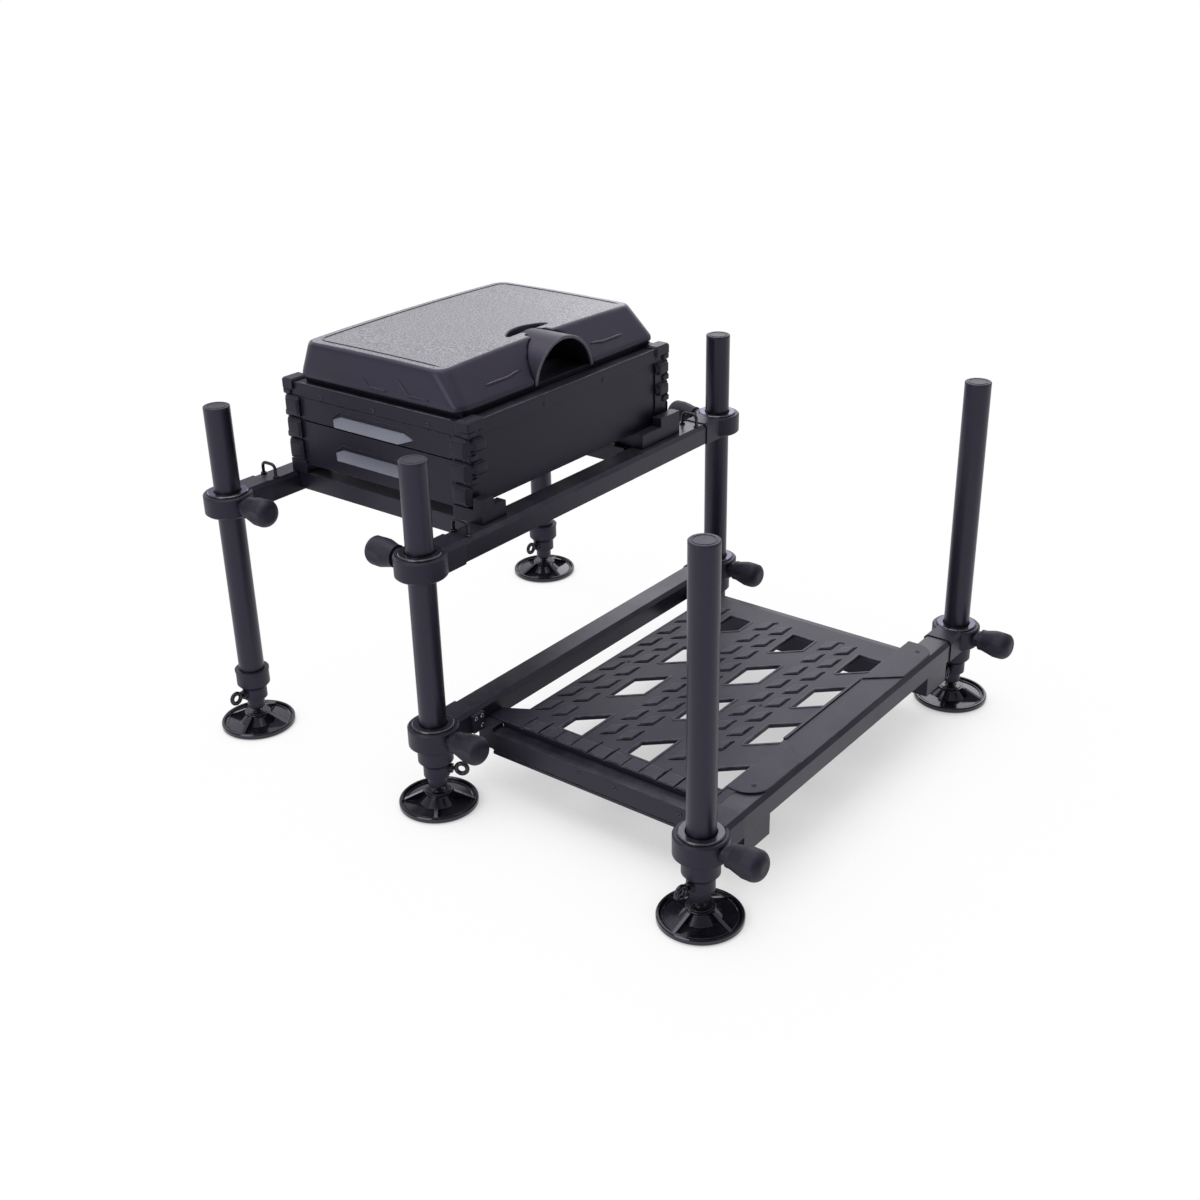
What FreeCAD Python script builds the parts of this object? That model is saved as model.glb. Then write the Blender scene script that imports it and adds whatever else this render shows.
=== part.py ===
import FreeCAD, Part
import os
import Sketcher

# A fishing seat box: a box with two side drawers and a padded lid on a frame of two rails, four
# frame legs, and a footplate hung between the two front legs and two legs of its own.
# X runs along the box, -Y is the side the angler faces, Z is up from the ground.

# Clearances
running_gap = 0.1
pin_gap = 0.05
free_gap = 0.3
panel_gap = 0.5

# Where the legs stand
leg_span = 658
leg_depth = 362.5
platform_reach = 421

# Leg tube and its end fittings
tube_radius = 18
tube_wall = 1.8
tube_bottom = 68
leg_top = 486
cap_thickness = 3
cap_plug_length = 14
cap_bevel = 0.8
clamp_radius = 23.5
clamp_height = 24
clamp_lip = 0.9
clamp_neck_radius = 17.5
clamp_neck_height = 16
clamp_taper = 7
clamp_lip_height = 2.4
clamp_overlap = 1

# Inner leg and foot
inner_leg_radius = 12.5
inner_leg_wall = 1.6
inner_leg_length = 262
guide_length = 15
inner_leg_floor = 14
ball_radius = 9
ball_height = 14.5
stem_radius = 4.5
stem_length = 13.5
foot_radius = 53
foot_rim_height = 8.5
foot_rim_width = 3.5
foot_floor = 4.5
foot_skirt_radius = 26
foot_hub_radius = 15
foot_hub_step = 6
foot_hub_height = 21
foot_mouth_radius = 8.6
foot_rib_width = 5

# Eye bolt that locks the inner leg
bolt_height = 55
bolt_radius = 2.5
bolt_boss_radius = 6.5
bolt_boss_reach = 22
bolt_eye_radius = 7.5
bolt_eye_wire = 3
bolt_eye_reach = 34

# Rails, beams and the collars that clamp them to the legs
rail_width = 40
rail_height = 29.5
rail_wall = 2.2
rail_bevel = 5
rail_end_inset = 44
sleeve_wall = 1.5
sleeve_length = 59
collar_radius = 34
collar_height = 29
collar_bevel = 2
liner_radius = 28
liner_stand = 2.6
liner_bevel = 1.2
liner_split = 1.6
seat_rail_level = 348.75
platform_beam_level = 106.5

# Clamp knob
knob_reach = 86.5
knob_radius = 19.5
knob_neck_radius = 15
knob_flange = 5
knob_grip_length = 23
knob_end_round = 13
knob_stud_radius = 4
knob_boss_radius = 11.5
knob_boss_length = 6
knob_flute_depth = 1.8
knob_flute_radius = 30

# Wire loops on the seat rails
loop_wire = 2.25
loop_spread = 25.5
loop_height = 18
loop_bend = 7
loop_collar_radius = 4.2
loop_collar_height = 2.4
loop_share = 0.68

# Cross bars under the box
cross_bar_width = 28
cross_bar_height = 25
cross_bar_wall = 2
open_end_bar = 217
closed_end_bar = 116

# Box casework
box_length = 430
box_depth = 341
box_set_back = 3.25
floor_rise = 21
floor_thickness = 3
floor_inset = 4
panel_thickness = 3
panel_inset = 2
panel_height = 90.5
rim_height = 19
rim_wall = 22
rim_front = 30
rim_rear = 37
tray_thickness = 2
rim_block_width = 29
rim_block_depth = 18
rim_block_height = 14
rim_block_rise = 4
rim_block_stand = 3.5
rim_block_bevel = 2.5

# Corner posts
post_width = 29
post_depth = 31
knuckle_stand = 5
knuckle_bevel = 3.5
knuckle_height = 28
knuckle_pitch = 31.5
knuckle_inset = 1.5
knuckle_corner = 5
front_knuckle_height = 18.5
front_knuckle_rise = 39
front_knuckle_corner = 5

# Foot blocks under the box
block_length = 46
rear_block_inset = 1.5
long_block_length = 92
block_stand = 20
block_step = 13
block_step_length = 23

# Drawers
drawer_side_gap = 2.5
drawer_length = 401
drawer_wall = 2.5
drawer_front = 4
drawer_lift = 3.3
lower_drawer_height = 47.7
upper_drawer_rise = 58.3
upper_drawer_height = 29.5
front_drop = 7
front_split_rise = 56
front_split = 2
runner_lap = 8
strip_inset = 40
runner_width = 18
runner_thickness = 4
grip_length = 119.6
grip_offset = 4
grip_depth = 13.5
grip_rise = 11.2
grip_point_length = 16.8
grip_point_rise = 5
lower_grip_rise = 16.5
upper_grip_rise = 64
grip_pocket_height = 6
grip_pocket_depth = 1.2

# Lid
lid_base_height = 7.2
lid_base_lap = 8
lid_base_wall = 9
lid_base_top = 4
hinge_rise = 4
hinge_stand = 6
hinge_barrel = 4.8
hinge_pin = 2.5
hinge_place = 150
hinge_knuckle = 20
hinge_leaf = 7
hinge_leaf_thickness = 6.4
hinge_leaf_lap = 4
pad_length = 421
pad_depth = 300
pad_front_gap = 17
pad_height = 54
pad_foot_height = 7
pad_end_slope = 7
pad_front_slope = 43
pad_rear_slope = 11
pad_corner = 16
pad_edge_round = 6
pad_crown_rise = 3.5
hood_radius = 63
hood_wall = 4.5
hood_drop = 9
hood_depth = 62
finger_slot_width = 90
finger_slot_depth = 21

# Footplate
side_rail_width = 57
side_rail_height = 32
side_rail_wall = 2
side_rail_inset = 64
side_rail_groove = 1.5
side_rail_groove_rise = 4
bracket_length = 24
bracket_rise = 7
plate_inset = 22.5
plate_thickness = 4.5
plate_stand = 8.25
plate_flange_wall = 3
plate_slot_inset = 25.5
plate_slot_width = 33
plate_slot_slant = 19
hole_pitch_x = 118
hole_pitch_y = 109.5
hole_width = 60
hole_depth = 35
hole_slant = 32
hole_first_row = 118
hole_middle = 11
end_hole_width = 32
end_hole_inset = 30.5
last_hole_inset = 46.5
groove_pitch = 46.25
groove_width = 2.6
groove_depth = 1.5
groove_slant = 15
groove_run = 28
edge_groove_run = 34
groove_inset = 45.5
groove_first_row = 60
groove_row_step = 27
cover_length = 470
cover_width = 41
cover_offset = 9
cover_thickness = 2.4
cover_tongue_length = 52
cover_tongue_width = 22
cover_corner = 18

doc = FreeCAD.newDocument("FishingSeatBox")
sheet = doc.addObject("Spreadsheet::Sheet", "Sizes")
V = FreeCAD.Vector


class Size:
    """A length with its present value and the expression that ties it to the sheet."""

    def __init__(self, text, value):
        self.text = text
        self.value = value

    def combine(self, sign, other, value):
        return Size(f"({self.text} {sign} {other.text})", value)

    def __add__(self, other):
        other = as_size(other)
        return self.combine("+", other, self.value + other.value)

    def __radd__(self, other):
        return as_size(other) + self

    def __sub__(self, other):
        other = as_size(other)
        return self.combine("-", other, self.value - other.value)

    def __rsub__(self, other):
        return as_size(other) - self

    def __mul__(self, other):
        other = as_size(other)
        return self.combine("*", other, self.value * other.value)

    def __rmul__(self, other):
        return as_size(other) * self

    def __truediv__(self, other):
        other = as_size(other)
        return self.combine("/", other, self.value / other.value)

    def __neg__(self):
        return as_size(0) - self


def as_size(number):
    if isinstance(number, Size):
        return number
    return Size(repr(float(number)), float(number))


# Each driving size goes into the sheet, and its name stands for the sheet's cell from here on
driving_sizes = [(alias, value) for alias, value in globals().items() if type(value) in (int, float)]
for row, (alias, value) in enumerate(driving_sizes, 1):
    sheet.set(f"A{row}", alias)
    sheet.set(f"B{row}", str(value))
    sheet.setAlias(f"B{row}", alias)
    globals()[alias] = Size(f"Sizes.{alias}", float(value))
doc.recompute()

# Places worked out from the driving sizes
half_span = leg_span / 2
front_y = (platform_reach + knob_reach - leg_depth - foot_radius) / 2
rear_y = front_y + leg_depth
platform_y = front_y - platform_reach
half_box = box_length / 2
box_middle = front_y + leg_depth / 2 + box_set_back
box_front = box_middle - box_depth / 2
box_rear = box_middle + box_depth / 2
tube_bore = tube_radius - tube_wall
clamp_top = tube_bottom + clamp_height - clamp_overlap
collar_bore = liner_radius + pin_gap
seat_rail_top = seat_rail_level + rail_height / 2
floor_level = seat_rail_top + floor_rise
rim_bottom = floor_level + panel_height
rim_top = rim_bottom + rim_height
lid_base_bottom = rim_top + free_gap
lid_base_level = lid_base_bottom + lid_base_height
hinge_level = rim_top + hinge_rise

nodes = []


def bind(thing, prop, size):
    thing.setExpression(prop, as_size(size).text)


def place(thing, x=0, y=0, z=0, turn=None):
    """Puts a piece at a point of the frame, turned by a fixed rotation."""
    if turn is not None:
        thing.Placement = FreeCAD.Placement(V(0, 0, 0), turn)
    for axis, size in (("x", x), ("y", y), ("z", z)):
        if as_size(size).text != "0.0":
            bind(thing, f"Placement.Base.{axis}", size)
    return thing


def box(x0, x1, y0, y1, z0, z1):
    block = doc.addObject("Part::Box", "Block")
    bind(block, "Length", as_size(x1) - x0)
    bind(block, "Width", as_size(y1) - y0)
    bind(block, "Height", as_size(z1) - z0)
    return place(block, x0, y0, z0)


along_x = FreeCAD.Rotation(V(0, 1, 0), 90)
along_y = FreeCAD.Rotation(V(1, 0, 0), -90)
along_minus_y = FreeCAD.Rotation(V(1, 0, 0), 90)


def rod(radius, length, x=0, y=0, z=0, turn=None):
    cylinder = doc.addObject("Part::Cylinder", "Rod")
    bind(cylinder, "Radius", radius)
    bind(cylinder, "Height", length)
    return place(cylinder, x, y, z, turn)


def cone(lower_radius, upper_radius, length, z):
    taper = doc.addObject("Part::Cone", "Taper")
    bind(taper, "Radius1", lower_radius)
    bind(taper, "Radius2", upper_radius)
    bind(taper, "Height", length)
    return place(taper, 0, 0, z)


def ball(radius, z):
    sphere = doc.addObject("Part::Sphere", "Ball")
    bind(sphere, "Radius", radius)
    return place(sphere, 0, 0, z)


def fuse(*pieces):
    whole = doc.addObject("Part::MultiFuse", "Whole")
    whole.Shapes = list(pieces)
    whole.Refine = True
    return whole


def cut(base, *tools):
    rest = doc.addObject("Part::Cut", "Rest")
    rest.Base = base
    rest.Tool = tools[0] if len(tools) == 1 else fuse(*tools)
    rest.Refine = False
    return rest


def copy(piece, x=0, y=0, z=0, turn=None):
    twin = doc.addObject("Part::Compound", "Copy")
    twin.Links = [piece]
    return place(twin, x, y, z, turn)


def mirror(piece, normal, base_x=0, base_y=0):
    image = doc.addObject("Part::Mirroring", "Image")
    image.Source = piece
    image.Normal = normal
    bind(image, "Base.x", base_x)
    bind(image, "Base.y", base_y)
    return image


def rounded(piece, radius, pick, chamfer=False):
    """Rounds or bevels the edges whose midpoint and length the pick function accepts."""
    doc.recompute()
    feature = doc.addObject("Part::Chamfer" if chamfer else "Part::Fillet", "Eased")
    feature.Base = piece
    size = as_size(radius).value
    chosen = []
    for number, edge in enumerate(piece.Shape.Edges, 1):
        middle = edge.valueAt((edge.FirstParameter + edge.LastParameter) / 2)
        if pick(middle, edge):
            chosen.append((number, size, size))
    feature.Edges = chosen
    return feature


def node(label, *pieces):
    """Names a finished piece, or a set of like pieces, as one node of the assembly."""
    if len(pieces) == 1:
        whole = pieces[0]
    else:
        whole = doc.addObject("Part::Compound", "Set")
        whole.Links = list(pieces)
    whole.Label = label
    nodes.append(whole)
    return whole


def plane(body, role):
    return next(feature for feature in body.Origin.OriginFeatures if feature.Role == role)


def sketch(body, role, loops):
    """A sketch of closed outlines, each corner tied to the sheet."""
    drawing = body.newObject("Sketcher::SketchObject", "Outline")
    drawing.AttachmentSupport = [(plane(body, role), "")]
    drawing.MapMode = "FlatFace"
    ties = []
    for loop in loops:
        corners = [(as_size(across), as_size(up)) for across, up in loop]
        ends = corners[1:] + corners[:1]
        first = drawing.GeometryCount
        for (ax, ay), (bx, by) in zip(corners, ends):
            line = Part.LineSegment(V(ax.value, ay.value, 0), V(bx.value, by.value, 0))
            drawing.addGeometry(line, False)
        count = len(corners)
        for step in range(count):
            here = first + step
            after = first + (step + 1) % count
            drawing.addConstraint(Sketcher.Constraint("Coincident", here, 2, after, 1))
        for step, corner in enumerate(corners):
            for kind, size in zip(("DistanceX", "DistanceY"), corner):
                ties.append((kind, first + step, size))
    for kind, corner, size in ties:
        number = drawing.addConstraint(Sketcher.Constraint(kind, -1, 1, corner, 1, size.value))
        drawing.setExpression(f"Constraints[{number}]", size.text)
    return drawing


def prism(role, loops, length, symmetric=False, reverse=False):
    """A body padded from outlines on one of its own origin planes."""
    body = doc.addObject("PartDesign::Body", "Body")
    drawing = sketch(body, role, loops)
    pad = body.newObject("PartDesign::Pad", "Pad")
    pad.Profile = drawing
    bind(pad, "Length", length)
    pad.Midplane = symmetric
    pad.Reversed = reverse
    return body


def turned(loop):
    """A body turned about Z from a half outline given as radius and height."""
    body = doc.addObject("PartDesign::Body", "Turned")
    drawing = sketch(body, "XZ_Plane", [loop])
    turn = body.newObject("PartDesign::Revolution", "Turn")
    turn.Profile = drawing
    turn.ReferenceAxis = (drawing, ["V_Axis"])
    turn.Angle = 360
    return body


def yaw(degrees):
    return FreeCAD.Rotation(V(0, 0, 1), degrees)


# Leg tube, drawn aluminium
tube_form = cut(
    rod(tube_radius, leg_top - cap_thickness - tube_bottom, z=tube_bottom),
    rod(tube_bore, leg_top - tube_bottom, z=tube_bottom - 1),
)

# Cap pressed into the top end of the tube, its disc flush with the tube's side
cap_seat = leg_top - cap_thickness
cap_form = turned([
    (0, cap_seat - cap_plug_length),
    (tube_bore - pin_gap, cap_seat - cap_plug_length),
    (tube_bore - pin_gap, cap_seat),
    (tube_radius, cap_seat),
    (tube_radius, leg_top - cap_bevel),
    (tube_radius - cap_bevel, leg_top),
    (0, leg_top),
])

# Clamp moulding round the bottom of the tube; the inner leg runs through its neck
neck_bottom = tube_bottom - clamp_taper - clamp_neck_height
clamp_ring = turned([
    (inner_leg_radius + running_gap, neck_bottom),
    (clamp_neck_radius, neck_bottom),
    (clamp_neck_radius, neck_bottom + clamp_neck_height),
    (clamp_radius, tube_bottom),
    (clamp_radius, clamp_top - clamp_lip_height - clamp_lip),
    (clamp_radius + clamp_lip, clamp_top - clamp_lip_height),
    (clamp_radius + clamp_lip, clamp_top),
    (tube_radius + pin_gap, clamp_top),
    (tube_radius + pin_gap, tube_bottom),
    (inner_leg_radius + running_gap, tube_bottom),
])
bolt_boss = rod(bolt_boss_radius, bolt_boss_reach - inner_leg_radius - 1,
                x=inner_leg_radius + 1, z=bolt_height, turn=along_x)
bolt_hole = rod(bolt_radius + pin_gap, bolt_boss_reach, x=inner_leg_radius - 1,
                z=bolt_height, turn=along_x)
clamp_form = cut(fuse(clamp_ring, bolt_boss), bolt_hole)

# Inner leg with its guide at the top and the ball at the bottom
shoulder = ball_height + stem_length
inner_top = shoulder + inner_leg_length
inner_shaft = turned([
    (0, ball_height),
    (stem_radius, ball_height),
    (stem_radius, shoulder - 3),
    (inner_leg_radius - 2, shoulder),
    (inner_leg_radius, shoulder + 2),
    (inner_leg_radius, inner_top - guide_length),
    (tube_bore - running_gap, inner_top - guide_length),
    (tube_bore - running_gap, inner_top),
    (inner_leg_radius - inner_leg_wall, inner_top),
    (inner_leg_radius - inner_leg_wall, shoulder + inner_leg_floor),
    (0, shoulder + inner_leg_floor),
])
inner_form = fuse(inner_shaft, ball(ball_radius, ball_height))

# Foot disc: a dished tread with a raised rim, four ribs and a socket for the ball
foot_body = turned([
    (0, 0),
    (foot_radius - 2, 0),
    (foot_radius, 2),
    (foot_radius, foot_rim_height - 1.5),
    (foot_radius - 1.2, foot_rim_height),
    (foot_radius - foot_rim_width, foot_rim_height),
    (foot_radius - foot_rim_width - 2, foot_floor),
    (foot_skirt_radius, foot_floor + 1.5),
    (foot_hub_radius + 1.5, foot_hub_height - foot_hub_step),
    (foot_hub_radius, foot_hub_height),
    (0, foot_hub_height),
])
rib_sketch = sketch(foot_body, "XZ_Plane", [[
    (foot_hub_radius - 3, foot_floor - 1),
    (foot_radius - foot_rim_width - 1, foot_floor - 1),
    (foot_radius - foot_rim_width - 1, foot_floor + 1),
    (foot_hub_radius + 6, foot_hub_height - 2),
    (foot_hub_radius - 3, foot_hub_height - 1),
]])
rib = foot_body.newObject("PartDesign::Pad", "Rib")
rib.Profile = rib_sketch
rib.Midplane = True
bind(rib, "Length", foot_rib_width)
ribs = foot_body.newObject("PartDesign::PolarPattern", "Ribs")
ribs.Originals = [rib]
ribs.Axis = (plane(foot_body, "Z_Axis"), [""])
ribs.Angle = 360
ribs.Occurrences = 4
foot_body.Tip = ribs
socket = ball(ball_radius + running_gap, ball_height)
mouth_bottom = ball_height + ball_radius / 2
mouth = cone(stem_radius + 1.9, foot_mouth_radius, foot_hub_height + 0.1 - mouth_bottom, mouth_bottom)
foot_form = cut(foot_body, socket, mouth)

# Eye bolt: a plain shank and a round eye to turn it by
bolt_start = inner_leg_radius + free_gap
eye = doc.addObject("Part::Torus", "Eye")
bind(eye, "Radius1", bolt_eye_radius)
bind(eye, "Radius2", bolt_eye_wire)
place(eye, bolt_eye_reach, 0, bolt_height, along_y)
bolt_form = fuse(
    rod(bolt_radius, bolt_eye_reach - bolt_eye_radius - bolt_start, x=bolt_start,
        z=bolt_height, turn=along_x),
    eye,
)


def rail_section(grow):
    """The rail's section seen along X: flat below, bevelled along both upper edges."""
    half_width = rail_width / 2 + grow
    half_height = rail_height / 2 + grow
    return [
        (-half_width, -half_height),
        (half_width, -half_height),
        (half_width, half_height - rail_bevel),
        (half_width - rail_bevel, half_height),
        (rail_bevel - half_width, half_height),
        (-half_width, half_height - rail_bevel),
    ]


# Rail extrusion, used for both seat rails and both footplate beams
rail_half = half_span - rail_end_inset
rail_form = prism("YZ_Plane", [rail_section(0), rail_section(-rail_wall)], rail_half * 2, True)

# Collar casting: a ring round the leg, a sleeve over the rail's end and a boss for the knob
half_collar = collar_height / 2
ring = turned([
    (collar_bore, -half_collar),
    (collar_radius - collar_bevel, -half_collar),
    (collar_radius, collar_bevel - half_collar),
    (collar_radius, half_collar - collar_bevel),
    (collar_radius - collar_bevel, half_collar),
    (collar_bore, half_collar),
])
sleeve_outside = prism("YZ_Plane", [rail_section(sleeve_wall)], sleeve_length - collar_bore / 2)
sleeve = place(sleeve_outside, collar_bore / 2)
boss_end = collar_radius + knob_boss_length
boss = rod(knob_boss_radius, boss_end - collar_bore, y=-collar_bore, turn=along_minus_y)
pocket_length = sleeve_length - rail_end_inset + 1
rail_pocket = place(prism("YZ_Plane", [rail_section(pin_gap)], pocket_length), rail_end_inset)
collar_form = cut(
    fuse(ring, sleeve, boss),
    rod(collar_bore, collar_height * 2, z=-collar_height),
    rod(knob_stud_radius + running_gap, boss_end, y=-collar_bore / 2, turn=along_minus_y),
    rail_pocket,
)
collar_mirrored = mirror(collar_form, V(0, 1, 0))

# Split liner ring between the collar and the leg
liner_ring = turned([
    (tube_radius + running_gap, -half_collar),
    (liner_radius, -half_collar),
    (liner_radius, half_collar + liner_stand - liner_bevel),
    (liner_radius - liner_bevel, half_collar + liner_stand),
    (tube_radius + running_gap + liner_bevel, half_collar + liner_stand),
    (tube_radius + running_gap, half_collar + liner_stand - liner_bevel),
])
liner_form = cut(
    liner_ring,
    box(0, liner_radius + 2, -liner_split / 2, liner_split / 2, -collar_height, collar_height),
)

# Clamp knob: a stud through the collar and a fluted rubber grip that widens to a rounded end
knob_start = liner_radius + free_gap
flange_start = boss_end + free_gap
knob_turned = turned([
    (0, knob_start),
    (knob_stud_radius, knob_start),
    (knob_stud_radius, flange_start),
    (knob_neck_radius, flange_start),
    (knob_neck_radius, flange_start + knob_flange),
    (knob_radius, knob_reach - knob_grip_length),
    (knob_radius, knob_reach),
    (0, knob_reach),
])
knob_eased = rounded(
    knob_turned, knob_end_round,
    lambda middle, edge: abs(middle.z - knob_reach.value) < 0.01 and edge.Length > 10,
)
flutes = []
for flute_number in range(3):
    reach = knob_radius + knob_flute_radius - knob_flute_depth
    flute = rod(knob_flute_radius, knob_reach, x=reach, z=flange_start + knob_flange)
    flutes.append(copy(flute, turn=yaw(60 + 120 * flute_number)))
knob_form = cut(knob_eased, *flutes)

# The six legs, each with its fittings, inner leg, foot, eye bolt and clamp knob
LEFT = -half_span
RIGHT = half_span
legs = [
    ("rear_left", LEFT, rear_y, 180, 20),
    ("front_left", LEFT, front_y, -60, 38),
    ("front_right", RIGHT, front_y, 200, 60),
    ("rear_right", RIGHT, rear_y, 180, 75),
    ("platform_left", LEFT, platform_y, 172, -7),
    ("platform_right", RIGHT, platform_y, 190, 10),
]
knob_toward_front = {"rear_left", "rear_right", "platform_left", "platform_right"}
for name, x, y, bolt_turn, foot_turn in legs:
    on_platform = name.startswith("platform")
    knob_level = platform_beam_level if on_platform else seat_rail_level
    knob_turn = along_minus_y if name in knob_toward_front else along_y
    node(f"{name}_leg_tube", copy(tube_form, x, y))
    node(f"{name}_leg_fittings", copy(cap_form, x, y), copy(clamp_form, x, y, 0, yaw(bolt_turn)))
    node(f"{name}_inner_leg", copy(inner_form, x, y))
    node(f"{name}_foot", copy(foot_form, x, y, 0, yaw(foot_turn)))
    node(f"{name}_eye_bolt", copy(bolt_form, x, y, 0, yaw(bolt_turn)))
    node(f"{name}_knob", copy(knob_form, x, y, knob_level, knob_turn))
for name, x in (("front_left", LEFT), ("front_right", RIGHT)):
    node(f"{name}_lower_knob", copy(knob_form, x, front_y, platform_beam_level, along_minus_y))

# Seat rails with their collars and liners
half_turn = yaw(180)
node(
    "seat_rails",
    copy(rail_form, 0, front_y, seat_rail_level),
    copy(rail_form, 0, rear_y, seat_rail_level),
)
node(
    "upper_collars",
    copy(collar_form, LEFT, rear_y, seat_rail_level),
    copy(collar_mirrored, LEFT, front_y, seat_rail_level),
    copy(collar_form, RIGHT, front_y, seat_rail_level, half_turn),
    copy(collar_mirrored, RIGHT, rear_y, seat_rail_level, half_turn),
)
node(
    "upper_liners",
    copy(liner_form, LEFT, rear_y, seat_rail_level),
    copy(liner_form, LEFT, front_y, seat_rail_level),
    copy(liner_form, RIGHT, front_y, seat_rail_level, half_turn),
    copy(liner_form, RIGHT, rear_y, seat_rail_level, half_turn),
)

# Wire loops: a flat-topped staple of bent wire, each leg with a foot collar. A loop stands on the
# rail between the end of the box and the collar's sleeve
half_spread = loop_spread / 2
loop_bend_form = doc.addObject("Part::Torus", "Bend")
bind(loop_bend_form, "Radius1", loop_bend)
bind(loop_bend_form, "Radius2", loop_wire)
loop_bend_form.Angle3 = 90
upright = FreeCAD.Rotation(V(1, 1, 1), 120)
place(loop_bend_form, 0, half_spread - loop_bend, loop_height - loop_bend, upright)
loop_half = [
    loop_bend_form,
    rod(loop_wire, loop_height - loop_bend, y=half_spread),
    rod(loop_collar_radius, loop_collar_height, y=half_spread),
]
loop_top = rod(loop_wire, loop_spread - loop_bend * 2, 0, loop_bend - half_spread, loop_height, along_y)
loop_form = fuse(*loop_half, *[mirror(piece, V(0, 1, 0)) for piece in loop_half], loop_top)
loops = []
box_end = half_box + knuckle_stand
sleeve_start = half_span - sleeve_length
loop_place = box_end + (sleeve_start - box_end) * loop_share
for x in (-loop_place, loop_place):
    for y in (front_y, rear_y):
        loops.append(copy(loop_form, x, y, seat_rail_top))
node("gear_loops", *loops)


def cross_bar(start):
    """A hollow bar from rail to rail whose top is level with the rails."""
    reach = rail_width / 2
    end = start + cross_bar_width
    top = seat_rail_top
    bottom = top - cross_bar_height
    outside = box(start, end, front_y + reach, rear_y - reach, bottom, top)
    wall = cross_bar_wall
    inside = box(start + wall, end - wall, front_y, rear_y, bottom + wall, top - wall)
    return cut(outside, inside)


node("cross_bars", cross_bar(-open_end_bar), cross_bar(closed_end_bar))

# Box base: floor, drawer strips and foot blocks that stand on the rails
floor_bottom = floor_level - floor_thickness
half_floor = half_box - floor_inset
post_inner_x = half_box - post_width
post_inner_y = box_depth / 2 - post_depth
floor_wide = box(-half_floor, half_floor, box_middle - post_inner_y + panel_gap,
                 box_middle + post_inner_y - panel_gap, floor_bottom, floor_level)
floor_long = box(panel_gap - post_inner_x, post_inner_x - panel_gap, box_front + panel_inset,
                 box_rear - panel_inset, floor_bottom, floor_level)
lower_drawer_bottom = floor_level + drawer_lift
strip_level = lower_drawer_bottom - free_gap
strips = []
for strip_side in (-1, 1):
    strip_middle = box_middle + strip_side * (post_inner_y - strip_inset)
    strips.append(box(-half_floor, post_inner_x, strip_middle - runner_width / 2,
                      strip_middle + runner_width / 2, floor_level, strip_level))


def foot_block(start, end):
    """A block on the front rail: a slab under the corner with a stepped upstand before it."""
    outer = box_front - block_stand
    slab = box(start, end, outer, box_front + post_depth, seat_rail_top, floor_bottom)
    low = box(start, end, outer, box_front - knuckle_stand, floor_bottom, floor_level)
    return slab, low


left_end = -half_box - knuckle_stand + 1
right_end = half_box + knuckle_stand - 1
left_slab, left_low = foot_block(left_end, block_length + left_end)
left_tall = box(left_end, left_end + block_step_length, box_front - block_stand,
                box_front - knuckle_stand, floor_level, floor_level + block_step)
right_slab, right_low = foot_block(right_end - long_block_length, right_end)
right_tall = box(right_end - long_block_length / 2, right_end, box_front - block_stand,
                 box_front - knuckle_stand, floor_level, floor_level + block_step)
front_blocks = fuse(left_slab, left_low, left_tall, right_slab, right_low, right_tall)
rear_blocks = []
for start, end in ((left_end, block_length + left_end), (right_end - block_length, right_end)):
    rear_blocks.append(box(start, end, box_rear - post_depth, box_rear - rear_block_inset,
                           seat_rail_top, floor_bottom))
base = fuse(floor_wide, floor_long, *strips, front_blocks, *rear_blocks)
node("box_base", base)

# Outer panels: front, rear and the closed end, with the runners of the upper drawer
panel_top = rim_bottom
front_panel = box(panel_gap - post_inner_x, post_inner_x - panel_gap, box_front + panel_inset,
                  box_front + panel_inset + panel_thickness, floor_level, panel_top)
end_panel = box(half_floor - panel_thickness, half_floor, box_middle - post_inner_y + panel_gap,
                box_middle + post_inner_y - panel_gap, floor_level, panel_top)
upper_drawer_bottom = floor_level + upper_drawer_rise
runner_top = upper_drawer_bottom - free_gap
drawer_side = post_inner_y - drawer_side_gap
runner = box(panel_gap - post_inner_x, post_inner_x - panel_gap,
             box_front + panel_inset + panel_thickness, box_middle - drawer_side + runner_lap,
             runner_top - runner_thickness, runner_top)
front_wall = fuse(front_panel, runner)
rear_wall = mirror(front_wall, V(0, 1, 0), 0, box_middle)
node("box_panels", front_wall, rear_wall, end_panel)


def end_knuckle(bottom, height):
    """A block on the end face of a post, bevelled at its top and at the corner of the box."""
    face = -half_box
    tip = face - knuckle_stand
    side = box_front - knuckle_inset
    outline = [
        (face + 1, side),
        (tip + knuckle_corner, side),
        (tip, side + knuckle_corner),
        (tip, box_front + post_depth - knuckle_inset),
        (face + 1, box_front + post_depth - knuckle_inset),
    ]
    block = place(prism("XY_Plane", [outline], height), 0, 0, bottom)
    top = (bottom + height).value
    return rounded(
        block, knuckle_bevel,
        lambda middle, edge: abs(middle.z - top) < 0.01 and middle.x < face.value,
        chamfer=True,
    )


def front_knuckle(bottom, height):
    """A block with cut corners and bevelled edges on the long face of a post."""
    left = -half_box
    right = post_width - half_box
    top = bottom + height
    outline = [
        (left + front_knuckle_corner, bottom),
        (right - front_knuckle_corner, bottom),
        (right, bottom + front_knuckle_corner),
        (right, top - front_knuckle_corner),
        (right - front_knuckle_corner, top),
        (left + front_knuckle_corner, top),
        (left, top - front_knuckle_corner),
        (left, bottom + front_knuckle_corner),
    ]
    block = place(prism("XZ_Plane", [outline], knuckle_stand + 1), 0, box_front + 1)
    outer = (box_front - knuckle_stand).value
    return rounded(
        block, knuckle_bevel,
        lambda middle, edge: abs(middle.y - outer) < 0.01,
        chamfer=True,
    )


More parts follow.
